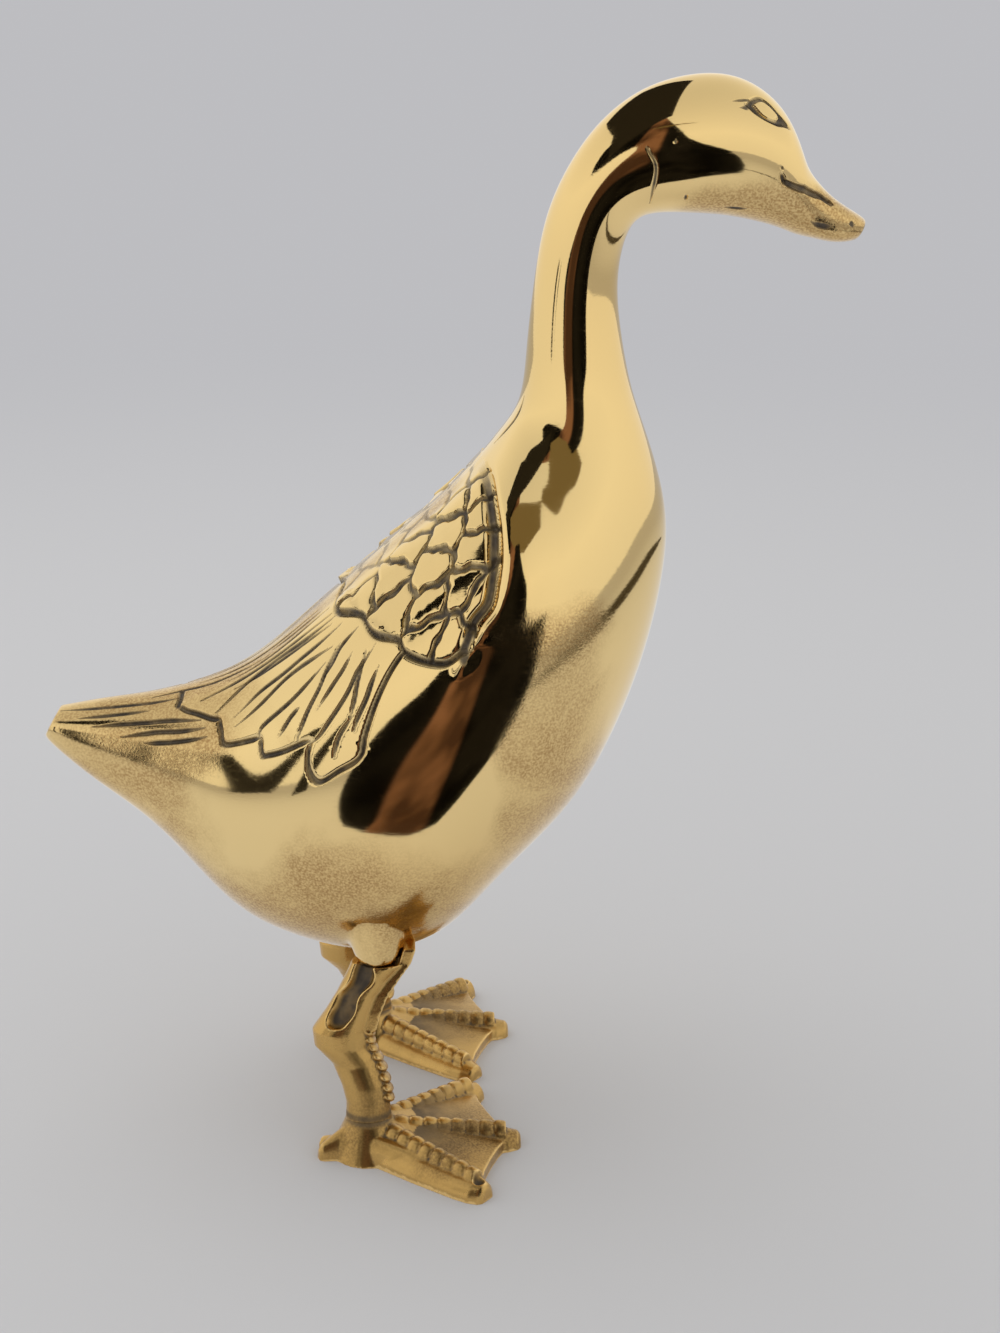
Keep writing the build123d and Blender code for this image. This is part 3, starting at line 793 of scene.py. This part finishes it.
# Swelling along one scute, and the whole ridge's reach as shares of the toe
SCUTE_BANDS = [(0.0, 0.74), (0.14, 0.97), (0.45, 1.0), (0.86, 0.93)]
RIDGE_START, RIDGE_REACH = 0.17, 0.74
# Skirt on the outer side of the ankle, in millimetres: way out, way across, width and height
SKIRT = [
    (-11.5, 0.7, 2.2, 4.0), (-6, 3.1, 3.0, 6.0), (1, 5.5, 3.0, 6.8), (9, 9.7, 3.2, 6.0),
    (17, 15.1, 3.2, 4.6),
]
# Edge of the web: the share of the spread, and the share of the toe's length
WEB_EDGE = [
    (-1.0, 0.93), (-0.9, 0.90), (-0.72, 0.855), (-0.5, 0.84), (-0.28, 0.855), (-0.1, 0.90), (0.0, 0.93),
    (0.1, 0.90), (0.28, 0.855), (0.5, 0.84), (0.72, 0.855), (0.9, 0.90), (1.0, 0.93),
]
WEB_EDGE_HEIGHT = 2.6 * MM
BELOW_FLOOR = Vector((0, 0, -1 * MM))
ANKLE_FOOT = Vector((ANKLE.x, ANKLE.y, 0))
ANKLE_RADII = (9.6 * MM, 5.2 * MM)
WEB_SHADE = (9 * MM, 33 * MM)
WEB_TOP = 7 * MM
NAIL_SHARE = 0.925
NAIL_RADII = (0.7 * MM, 1.6 * MM)
NAIL_DEPTH = 1.2 * MM


def heading(turn):
    """Way along the floor that is turned from straight ahead."""
    return Vector((cos(turn), sin(turn), 0))


def floor_bar(bm, turn, length, sections, rise=0.0):
    """Toe or heel spur along the floor, through its sections."""
    rings = []
    for out, wide, high in sections:
        place = ANKLE_FOOT + heading(turn) * (out * length)
        rings.append(upright(place, turn, wide * TOE_WIDTH / 2, (high + rise) * TOE_HEIGHT))
    ring_chain(bm, rings, 24)


def toe_ridge(bm, turn, outer):
    """Row of scutes along the top of a toe."""
    rings = []
    for scute in range(TOE_SCUTES):
        for step, swell in SCUTE_BANDS:
            way = (scute + step) / TOE_SCUTES
            place = ANKLE_FOOT + heading(turn) * ((RIDGE_START + RIDGE_REACH * way) * TOE_LENGTH)
            place -= heading(turn + pi / 2) * (OUTER_RIDGE_SHIFT * outer)
            place.z = (1.46 - 0.42 * way) * TOE_HEIGHT - 2.5 * MM
            rings.append(upright(place, turn, (2.7 - 0.45 * way) * MM * swell, 3.0 * MM * swell))
    ring_chain(bm, rings, 20)


def web(bm):
    """Skin between the toes, thick at the ankle and thin at its edge."""
    rim = []
    for turn, out in WEB_EDGE:
        place = ANKLE_FOOT + heading(turn * TOE_SPREAD) * (out * TOE_LENGTH) + BELOW_FLOOR
        rim.append(bm.verts.new(place))
    middle = bm.verts.new(ANKLE_FOOT + BELOW_FLOOR)
    fan = [bm.faces.new((middle, near, far)) for near, far in zip(rim, rim[1:])]
    raised = bmesh.ops.extrude_face_region(bm, geom=fan)
    for vertex in raised["geom"]:
        if isinstance(vertex, bmesh.types.BMVert):
            out = (vertex.co - ANKLE_FOOT).xy.length / TOE_LENGTH
            vertex.co.z = ANKLE.z - (ANKLE.z - WEB_EDGE_HEIGHT) * min(out / 0.9, 1) ** 0.7


def level_sole(mesh):
    """Cuts a foot flat at the floor and closes its sole."""
    bm = opened(mesh)
    bmesh.ops.edgenet_fill(bm, edges=sliced(bm, (0, 0, 0), (0, 0, -1)))
    bmesh.ops.triangulate(bm, faces=[face for face in bm.faces if len(face.verts) > 4])
    bmesh.ops.recalc_face_normals(bm, faces=bm.faces)
    bm.to_mesh(mesh)
    bm.free()


def left_foot_casting():
    """The left foot, and how dark each of its vertices is: painted shade on the webs towards the ankle and
    around the ankle joint, and dark in the nail's pit.
    """
    bm = bmesh.new()
    for turn in (-TOE_SPREAD, 0, TOE_SPREAD):
        outer = turn > 0
        floor_bar(bm, turn, TOE_LENGTH, TOE_SECTIONS, OUTER_TOE_RISE * outer)
        toe_ridge(bm, turn, outer)
    rings = []
    for out, side, wide, high in SKIRT:
        rings.append(upright(ANKLE_FOOT + Vector((out, side, 0)) * MM, radians(25), wide * MM, high * MM))
    ring_chain(bm, rings, 20)
    floor_bar(bm, HEEL_TURN, HEEL_LENGTH, HEEL_SECTIONS)
    web(bm)
    wide, narrow = ANKLE_RADII
    middle = Matrix.Translation(ANKLE_FOOT + Vector((0, 0, ANKLE.z / 2)))
    bmesh.ops.create_cone(
        bm, cap_ends=True, segments=32, radius1=wide, radius2=narrow, depth=ANKLE.z, matrix=middle
    )
    bmesh.ops.recalc_face_normals(bm, faces=bm.faces)
    piece = joined_casting("cast_left_foot", bm, 0.34 * MM, 3)
    level_sole(piece.data)
    places, _ = read_points(piece.data)
    offset = places - np.array(ANKLE_FOOT)
    reach = np.hypot(offset[:, 0], offset[:, 1])
    bearing = np.arctan2(offset[:, 1], offset[:, 0])
    webs = (np.abs(bearing) < TOE_SPREAD) & (places[:, 2] < WEB_TOP)
    # Painted shade: the webs darken towards the ankle, and a band darkens at the ankle joint
    web_shade = (1 - ease(*WEB_SHADE, reach)) * webs * 0.85
    joint = joint_shade(places, ANKLE.z, 1.4 * MM) * (reach < 8 * MM)
    nail = ANKLE_FOOT + heading(TOE_SPREAD) * (NAIL_SHARE * TOE_LENGTH)
    pit = 1 - ease(*NAIL_RADII, np.hypot(places[:, 0] - nail.x, places[:, 1] - nail.y))
    places[:, 2] -= pit * (places[:, 2] > 3 * MM) * NAIL_DEPTH
    write_points(piece.data, places)
    return piece, np.maximum.reduce([web_shade, joint, pit])


pieces["left_foot"], pits["foot"] = left_foot_casting()
pieces["right_foot"] = mirrored(pieces["left_foot"], "cast_right_foot")


# Finishes

def wire(tree, source, target):
    tree.links.new(source, target)


def fill(tree, socket, value):
    """Wires a source to a socket, or sets it to a number, a vector or a colour's three parts."""
    if isinstance(value, bpy.types.NodeSocket):
        wire(tree, value, socket)
    elif socket.type == "RGBA":
        socket.default_value = (*value, 1)
    else:
        socket.default_value = value


def add_node(tree, kind, inputs=None, **settings):
    """New node with its settings, its inputs wired or set by name or by number."""
    node = tree.nodes.new("ShaderNode" + kind)
    for name, value in settings.items():
        setattr(node, name, value)
    for label, value in (inputs or {}).items():
        fill(tree, node.inputs[label], value)
    return node


def ramp_node(tree, source, stops, smooth=False):
    """Colour ramp with its stops as places and colours."""
    ramp = add_node(tree, "ValToRGB", {"Fac": source})
    elements = ramp.color_ramp.elements
    while len(elements) < len(stops):
        elements.new(0.5)
    for element, (place, colour) in zip(elements, stops):
        element.position = place
        element.color = (*colour, 1)
    if smooth:
        ramp.color_ramp.interpolation = "EASE"
    return ramp.outputs["Color"]


def noise_node(tree, source, scale, detail, distortion=0.0):
    inputs = {"Vector": source, "Scale": scale, "Detail": detail, "Distortion": distortion}
    return add_node(tree, "TexNoise", inputs).outputs["Fac"]


def spread(tree, source, low, high, start=0.0, end=1.0):
    """Value eased from start to end as the source goes from low to high."""
    inputs = {"Value": source, "From Min": low, "From Max": high, "To Min": start, "To Max": end}
    return add_node(tree, "MapRange", inputs, interpolation_type="SMOOTHSTEP").outputs["Result"]


def sum_node(tree, operation, *values, clamp=False):
    """Arithmetic on sockets or plain numbers."""
    node = add_node(tree, "Math", dict(enumerate(values)), operation=operation, use_clamp=clamp)
    return node.outputs["Value"]


def tint_node(tree, factor, first, second):
    """Mix of two colours, each a socket or plain numbers."""
    inputs = {"Factor": factor, "A": first, "B": second}
    return add_node(tree, "Mix", inputs, data_type="RGBA").outputs["Result"]


def axes_of(tree, source):
    """The three parts of a place or of a direction."""
    return add_node(tree, "SeparateXYZ", {"Vector": source}).outputs


def own(tree, name):
    """The number that the piece's mesh keeps under a name."""
    return add_node(tree, "Attribute", attribute_name=name).outputs["Fac"]


def placed(tree, group, **values):
    """One placed group, its inputs wired or set by name."""
    return add_node(tree, "Group", values, node_tree=group).outputs


FLOAT, COLOUR, VECTOR = "NodeSocketFloat", "NodeSocketColor", "NodeSocketVector"


def new_group(name, takes, gives):
    """Node group with named sockets, and its input's and output's nodes."""
    tree = bpy.data.node_groups.new(name, "ShaderNodeTree")
    for label, kind in takes:
        tree.interface.new_socket(label, in_out="INPUT", socket_type=kind)
    for label, kind in gives:
        tree.interface.new_socket(label, in_out="OUTPUT", socket_type=kind)
    return tree, tree.nodes.new("NodeGroupInput").outputs, tree.nodes.new("NodeGroupOutput").inputs


def tarnish_group():
    """Clouds of tarnish, broken up by fine specks."""
    tree, taken, given = new_group("tarnish", [("Place", VECTOR), ("Amount", FLOAT)], [("Mask", FLOAT)])
    clouds = noise_node(tree, taken["Place"], scale=26, detail=5, distortion=0.6)
    level = sum_node(tree, "MULTIPLY_ADD", taken["Amount"], 0.30, clouds)
    patch = spread(tree, level, 0.64, 0.88)
    specks = noise_node(tree, taken["Place"], scale=1900, detail=6)
    specks = spread(tree, specks, 0.30, 0.70, start=0.3)
    wire(tree, sum_node(tree, "MULTIPLY", patch, specks, clamp=True), given["Mask"])
    return tree


def dirt_and_shade_group():
    """Dull grey-brown dirt laid into the cuts, and painted shade laid into the creases and recesses, in the
    same dark tone.
    """
    takes = [("Place", VECTOR), ("Color", COLOUR), ("Dark", FLOAT)]
    gives = [("Color", COLOUR), ("Metallic", FLOAT), ("Roughness", FLOAT)]
    tree, taken, given = new_group("cut dirt and painted shade", takes, gives)
    grain = noise_node(tree, taken["Place"], scale=480, detail=3)
    tone = tint_node(tree, grain, (0.024, 0.016, 0.009), (0.085, 0.062, 0.038))
    uneven = spread(tree, noise_node(tree, taken["Place"], scale=260, detail=2), 0.25, 0.6, start=0.75)
    laid = sum_node(tree, "MULTIPLY", taken["Dark"], uneven, clamp=True)
    wire(tree, tint_node(tree, laid, taken["Color"], tone), given["Color"])
    wire(tree, sum_node(tree, "MULTIPLY_ADD", laid, -0.85, 1.0), given["Metallic"])
    wire(tree, sum_node(tree, "MULTIPLY", laid, 0.35), given["Roughness"])
    return tree


def polish_group():
    """Height of fine polishing marks that run round the form, with a slow waviness."""
    takes = [("Place", VECTOR), ("Coarse", FLOAT)]
    tree, taken, given = new_group("polish marks", takes, [("Height", FLOAT), ("Mask", FLOAT)])
    turned = {"Vector": taken["Place"], "Rotation": (0.3, 0.6, 0.2), "Scale": (1.0, 7.0, 9.0)}
    drawn = add_node(tree, "Mapping", turned)
    marks = noise_node(tree, drawn.outputs["Vector"], scale=210, detail=4, distortion=0.4)
    waves = noise_node(tree, taken["Place"], scale=34, detail=1)
    grain = noise_node(tree, taken["Place"], scale=900, detail=2)
    height = sum_node(tree, "MULTIPLY", sum_node(tree, "MULTIPLY", grain, taken["Coarse"]), 0.4)
    height = sum_node(tree, "MULTIPLY_ADD", marks, 0.05, height)
    wire(tree, sum_node(tree, "MULTIPLY_ADD", waves, 1.6, height), given["Height"])
    wire(tree, spread(tree, marks, 0.55, 0.75), given["Mask"])
    return tree


TARNISH = tarnish_group()
DIRT_AND_SHADE = dirt_and_shade_group()
POLISH = polish_group()


def new_material(name):
    """New material, its nodes, its shader and the object's own coordinates."""
    material = bpy.data.materials.new(name)
    material.use_nodes = True
    tree = material.node_tree
    place = add_node(tree, "TexCoord").outputs["Object"]
    return material, tree, tree.nodes["Principled BSDF"].inputs, place


BUMP_REACH = 0.2 * MM


def bumped(tree, shader, height, strength):
    bump = add_node(tree, "Bump", {"Strength": strength, "Distance": BUMP_REACH, "Height": height})
    wire(tree, bump.outputs["Normal"], shader["Normal"])


def soiled_and_shaded(tree, shader, place, metal, rough):
    """Gives the shader a metal's colour and roughness, with dirt laid into the cuts and painted shade into
    the creases and recesses.
    """
    # Its dark tone is dirt in the cuts and painted shade in the creases and recesses
    dirt = placed(tree, DIRT_AND_SHADE, Place=place, Color=metal, Dark=own(tree, "dark"))
    wire(tree, dirt["Color"], shader["Base Color"])
    wire(tree, dirt["Metallic"], shader["Metallic"])
    wire(tree, sum_node(tree, "ADD", rough, dirt["Roughness"]), shader["Roughness"])


# Where the polished brass is tarnished: the spans, in metres, along the object's own axes, along
# the ridge (back) or down the flank, over which the tarnish goes from none to full, or from the
# third number to the fourth where they are given
TARNISHED = {
    "belly": [("Z", 0.112, 0.052, 0.0, 1.25)],
    "jaw": [("X", 0.045, 0.062), ("Z", 0.231, 0.222), ("Z", 0.19, 0.20)],
    "ridge": [("flank", 0.010, 0.005), ("back", 0.125, 0.105)],
    "breast": [("X", 0.002, 0.014, 0.0, 0.95), ("X", 0.046, 0.030, 0.15, 1.0), ("Z", 0.165, 0.110)],
    "tail": [("back", 0.075, 0.020, 0.0, 0.75)],
}


def polished_brass():
    """Hand-polished brass, tarnished in some areas, with dirt in the cuts and painted shade in the recess
    behind the shoulder's lip.
    """
    material, tree, shader, place = new_material("polished brass")
    axes = axes_of(tree, place)
    measures = {"X": axes["X"], "Z": axes["Z"], "back": own(tree, "back"), "flank": own(tree, "flank")}
    worst = 0.0
    for spans in TARNISHED.values():
        amount = 1.0
        for measure, *span in spans:
            amount = sum_node(tree, "MULTIPLY", amount, spread(tree, measures[measure], *span))
        worst = sum_node(tree, "MAXIMUM", worst, amount)
    mask = placed(tree, TARNISH, Place=place, Amount=worst)["Mask"]
    marks = placed(tree, POLISH, Place=place, Coarse=mask)
    clouds = noise_node(tree, place, scale=18, detail=2)
    gold = tint_node(tree, clouds, (0.86, 0.60, 0.25), (0.83, 0.64, 0.31))
    metal = tint_node(tree, mask, gold, (0.42, 0.255, 0.10))
    rough = sum_node(tree, "MULTIPLY_ADD", mask, 0.14, 0.06)
    rough = sum_node(tree, "MULTIPLY_ADD", marks["Mask"], 0.05, rough)
    soiled_and_shaded(tree, shader, place, metal, rough)
    bumped(tree, shader, marks["Height"], 0.35)
    return material


def cast_brass():
    """Rougher brass as cast, with painted shade and dirt in its creases, and its edges painted bright,
    partly as rubbed wear and partly as a painted highlight.
    """
    material, tree, shader, place = new_material("cast brass")
    mask = placed(tree, TARNISH, Place=place, Amount=0.75)["Mask"]
    metal = tint_node(tree, mask, (0.56, 0.35, 0.115), (0.24, 0.145, 0.055))
    # Painted highlight with wear: the raised edges are tinted bright gold
    metal = tint_node(tree, own(tree, "worn_and_highlit"), metal, (0.90, 0.62, 0.25))
    marks = placed(tree, POLISH, Place=place, Coarse=1.0)
    soiled_and_shaded(tree, shader, place, metal, sum_node(tree, "MULTIPLY_ADD", mask, 0.16, 0.27))
    bumped(tree, shader, marks["Height"], 0.5)
    return material


def plain_metal(name, light, heavy, roughness):
    """Metal of the hidden parts: two tones in small clouds."""
    material, tree, shader, place = new_material(name)
    mask = placed(tree, TARNISH, Place=place, Amount=0.6)["Mask"]
    marks = placed(tree, POLISH, Place=place, Coarse=0.8)
    shader["Metallic"].default_value = 1
    wire(tree, tint_node(tree, mask, light, heavy), shader["Base Color"])
    wire(tree, sum_node(tree, "MULTIPLY_ADD", mask, 0.2, roughness), shader["Roughness"])
    bumped(tree, shader, marks["Height"], 0.4)
    return material


def note_creases(piece, pit):
    """Stores how deep in a crease or pit, and how far out on an edge, each vertex lies. The first is laid
    in as painted shade and dirt, the second as a painted highlight and wear.
    """
    mesh = piece.data
    places, normals = read_points(mesh)
    copy = softened(new_piece("soft copy", opened(mesh)), 14)
    softer, _ = read_points(copy.data)
    bpy.data.objects.remove(copy)
    depth = ((softer - places) * normals).sum(1)
    # Painted shade: creases and pits darken with their depth
    add_layer(mesh, "dark", np.maximum(ease(0.015 * MM, 0.12 * MM, depth), pit))
    add_layer(mesh, "worn_and_highlit", ease(0.03 * MM, 0.16 * MM, -depth) * (1 - pit))


finishes = {
    "polished_brass": polished_brass(),
    "cast_brass": cast_brass(),
    "braze": plain_metal("braze", (0.78, 0.58, 0.30), (0.40, 0.30, 0.17), 0.3),
    "steel": plain_metal("zinc steel", (0.56, 0.57, 0.58), (0.34, 0.34, 0.34), 0.3),
}

for node, piece in pieces.items():
    slot = "polished_brass"
    if "braze" in node:
        slot = "braze"
    elif "leg" in node or "foot" in node:
        slot = "cast_brass"
        note_creases(piece, pits[node.split("_")[1]])
        for face in piece.data.polygons:
            face.use_smooth = True
    piece.data.materials.clear()
    piece.data.materials.append(finishes["cast_brass" if slot == "cast_brass" else "polished_brass"])
    if slot != "cast_brass":
        piece.data.materials.append(finishes[slot])
    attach(piece, "root")
    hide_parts(node)

for node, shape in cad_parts.items():
    if node not in pieces:
        for slot in shape.material_slots:
            slot.material = finishes["steel"]


# Floor, light and camera

BACKDROP = (0.51, 0.51, 0.53)
SEEN_CLOTH = (0.555, 0.557, 0.58)
# Painted reflection and bounce: the cloth is paler and bluer in the brass's reflections and in bounced
# light than the camera sees it
MIRRORED_CLOTH = (0.76, 0.78, 0.84)
CLOTH_END, BACKDROP_START = 0.25, 1.3

bm = bmesh.new()
bmesh.ops.create_grid(bm, x_segments=2, y_segments=2, size=3)
floor = new_piece("floor", bm)


def to_camera(tree):
    """1 where the camera looks straight at the surface, and 0 in a reflection or a bounce."""
    return add_node(tree, "LightPath").outputs["Is Camera Ray"]


def blended(tree, factor, first, second):
    """Gives a material one shader's look or another's."""
    mixed = add_node(tree, "MixShader", {0: factor, 1: first, 2: second})
    wire(tree, mixed.outputs["Shader"], tree.nodes["Material Output"].inputs["Surface"])


def floor_cloth():
    """Pale cloth that runs into the backdrop's tone far from the duck."""
    material, tree, shader, place = new_material("pale cloth")
    shader["Roughness"].default_value = 0.9
    wire(tree, tint_node(tree, to_camera(tree), MIRRORED_CLOTH, SEEN_CLOTH), shader["Base Color"])
    away = add_node(tree, "VectorMath", {0: place}, operation="LENGTH")
    fade = spread(tree, away.outputs["Value"], CLOTH_END, BACKDROP_START)
    glow = add_node(tree, "Emission", {"Color": BACKDROP})
    blended(tree, fade, tree.nodes["Principled BSDF"].outputs["BSDF"], glow.outputs["Emission"])
    return material


floor.data.materials.append(floor_cloth())


def stage_card(name, bm, colour):
    """Studio card that only the brass sees, in one colour or coloured by a function: a painted reflection
    that glows, while the camera, bounced light and shadows pass it by.
    """
    card = new_piece(name, bm)
    card.visible_camera = False
    card.visible_diffuse = False
    card.visible_shadow = False
    card.visible_transmission = False
    material, tree, _, place = new_material(name)
    tree.nodes.remove(tree.nodes["Principled BSDF"])
    tone = colour(tree, place) if callable(colour) else colour
    glow = add_node(tree, "Emission", {"Color": tone}).outputs["Emission"]
    wire(tree, glow, tree.nodes["Material Output"].inputs["Surface"])
    card.data.materials.append(material)
    return tree, glow


# The dark shape in front of the duck, a painted reflection seen only in the brass, as rows of height, left
# and right edge at its depth
FLAG_DEPTH = -200
FLAG_HEART = Vector((10, -39, 110))
FLAG_ROWS = [
    (-60, -40, 10), (-30, -95, 48), (0, -135, 80), (50, -150, 106), (100, -152, 124), (150, -150, 130),
    (190, -130, 128), (220, -92, 116), (250, -68, 84), (285, -62, 54), (310, -75, 42), (335, -160, 32),
    (400, -300, 0), (480, -400, -38), (600, -480, -60),
]
FLAG_BLACK = (0.012, 0.011, 0.010)
FLAG_COPPER = (0.25, 0.13, 0.085)
FLAG_STRIPE = [(0.05, FLAG_BLACK), (0.10, FLAG_COPPER), (0.42, FLAG_COPPER), (0.50, FLAG_BLACK)]
FLAG_MOTTLES = [(0.40, (0.25, 0.25, 0.25)), (0.62, (1, 1, 1))]
STRIPE_SPAN = 200 * MM


def flag_colours(tree, place):
    """Painted reflection colours: black with a copper stripe, both mottled."""
    across = sum_node(tree, "MULTIPLY_ADD", axes_of(tree, place)["X"], 1 / STRIPE_SPAN, 0.5, clamp=True)
    stripe = ramp_node(tree, across, FLAG_STRIPE, smooth=True)
    mottles = ramp_node(tree, noise_node(tree, place, scale=14, detail=2), FLAG_MOTTLES)
    return add_node(tree, "VectorMath", {0: stripe, 1: mottles}, operation="MULTIPLY").outputs["Vector"]


def dark_flag():
    """Upright dark flag in front of the duck, its foot bent onto the floor, seen only as a painted
    reflection in the brass.
    """
    rows = [Vector(row) for row in FLAG_ROWS]
    bm = bmesh.new()
    bmesh.ops.create_grid(bm, x_segments=12, y_segments=44, size=0.5)
    for vertex in bm.verts:
        level = (vertex.co.y + 0.5) * (len(rows) - 1)
        step = min(int(level), len(rows) - 2)
        high, left, right = rows[step].lerp(rows[step + 1], level - step)
        spot = Vector((left + (right - left) * (vertex.co.x + 0.5), FLAG_DEPTH, high))
        if high < 1:
            spot = FLAG_HEART.lerp(spot, (FLAG_HEART.z - 1) / (FLAG_HEART.z - high))
        vertex.co = spot * MM
    stage_card("dark flag", bm, flag_colours)


def dark_card(name, corners, colour=(0.02, 0.018, 0.015)):
    """Flat dark card through its corners, given in millimetres, seen only in the brass as a painted
    reflection.
    """
    bm = bmesh.new()
    bm.faces.new([bm.verts.new(Vector(corner) * MM) for corner in corners])
    return stage_card(name, bm, colour)


def steep_only(tree, glow, least):
    """Lets a card show only to rays that climb steeply, so that the head doesn't mirror it."""
    incoming = add_node(tree, "NewGeometry").outputs["Incoming"]
    climb = sum_node(tree, "ABSOLUTE", axes_of(tree, incoming)["Z"])
    clear = add_node(tree, "BsdfTransparent").outputs["BSDF"]
    blended(tree, sum_node(tree, "GREATER_THAN", climb, least), clear, glow)


# Painted reflections: dark cards overhead for the crown and the shoulder, the shoulder's in a brown tone,
# and dark cards in front for the tail and the rump
CARD_HEIGHT = 322
CROWN = [(-118, -140), (28, -70), (58, 50), (20, 125), (-40, 90), (-55, -20)]
SHOULDER = [(-60, -118), (-10, -108), (75, -128), (125, -190), (95, -235), (20, -230), (-70, -170)]
SHOULDER_TONE = (0.19, 0.15, 0.08)
LEAST_CLIMB = 0.585

dark_flag()
dark_card("crown card", [(*corner, CARD_HEIGHT) for corner in CROWN])
shoulder = dark_card("shoulder card", [(*corner, CARD_HEIGHT) for corner in SHOULDER], SHOULDER_TONE)
steep_only(*shoulder, LEAST_CLIMB)
dark_card("tail card", [(-375, -200, 75), (-315, -200, 70), (-305, -200, 225), (-365, -200, 225)])
dark_card("rump card", [(-262, -200, 60), (-225, -200, 70), (-222, -200, 205), (-250, -200, 220)])

EDGE_CENTRE = 0.03
EDGE_DISTANCE = 0.42
EDGE_BEARING, EDGE_SWEEP = 75, 120
EDGE_HEIGHT = 0.052
EDGE_DROP = 0.045
EDGE_THICKNESS = 26 * MM


def painted_table_edge():
    """Painted reflection of a table's edge: a thin dark line, seen only in the brass, low on the right
    where the table's cloth would end.
    """
    bm = bmesh.new()
    bmesh.ops.create_grid(bm, x_segments=60, y_segments=1, size=0.5)
    for vertex in bm.verts:
        bearing = radians(EDGE_BEARING + EDGE_SWEEP * vertex.co.x)
        thick = EDGE_THICKNESS * (1 - (2 * vertex.co.x) ** 2)
        height = EDGE_HEIGHT - EDGE_DROP * max(-2 * vertex.co.x - 0.35, 0) + thick * vertex.co.y
        vertex.co = (EDGE_CENTRE + EDGE_DISTANCE * sin(bearing), -EDGE_DISTANCE * cos(bearing), height)
    stage_card("painted table edge", bm, (0.06, 0.05, 0.035))


painted_table_edge()

light = bpy.data.lights.new("overhead softbox", "AREA")
light.shape = "RECTANGLE"
light.size, light.size_y = 1.4, 1.4
light.energy = 4.2
light.color = (1, 0.99, 0.96)
softbox = bpy.data.objects.new("overhead softbox", light)
softbox.location = (-0.5, 0.3, 1.3)
softbox.rotation_euler = (Vector((0, 0, 0.1)) - softbox.location).to_track_quat("-Z", "Y").to_euler()
softbox.visible_glossy = False
bpy.context.collection.objects.link(softbox)

ROOM_TONES = [(0.0, (0.92, 0.91, 0.88)), (0.35, (1.0, 0.99, 0.95)), (1.0, (0.74, 0.74, 0.74))]

world = bpy.data.worlds.new("room")
bpy.context.scene.world = world
world.use_nodes = True
tree = world.node_tree
way = add_node(tree, "TexCoord").outputs["Generated"]
rise = ramp_node(tree, axes_of(tree, way)["Z"], ROOM_TONES)
wire(tree, tint_node(tree, to_camera(tree), rise, BACKDROP), tree.nodes["Background"].inputs["Color"])

CAMERA_DISTANCE = 0.48

lens = bpy.data.cameras.new("camera")
lens.sensor_fit = "VERTICAL"
lens.sensor_height = 36
lens.sensor_width = 27
lens.lens = 54.01
camera = bpy.data.objects.new("camera", lens)
target = Vector((13.35, 0, 113.5)) * MM
azimuth, elevation = radians(-3), radians(18)
toward = Vector((sin(azimuth) * cos(elevation), -cos(azimuth) * cos(elevation), sin(elevation)))
camera.location = target + toward * CAMERA_DISTANCE
camera.rotation_euler = (-toward).to_track_quat("-Z", "Y").to_euler()
bpy.context.collection.objects.link(camera)
bpy.context.scene.camera = camera

bpy.context.scene.view_settings.view_transform = "Standard"
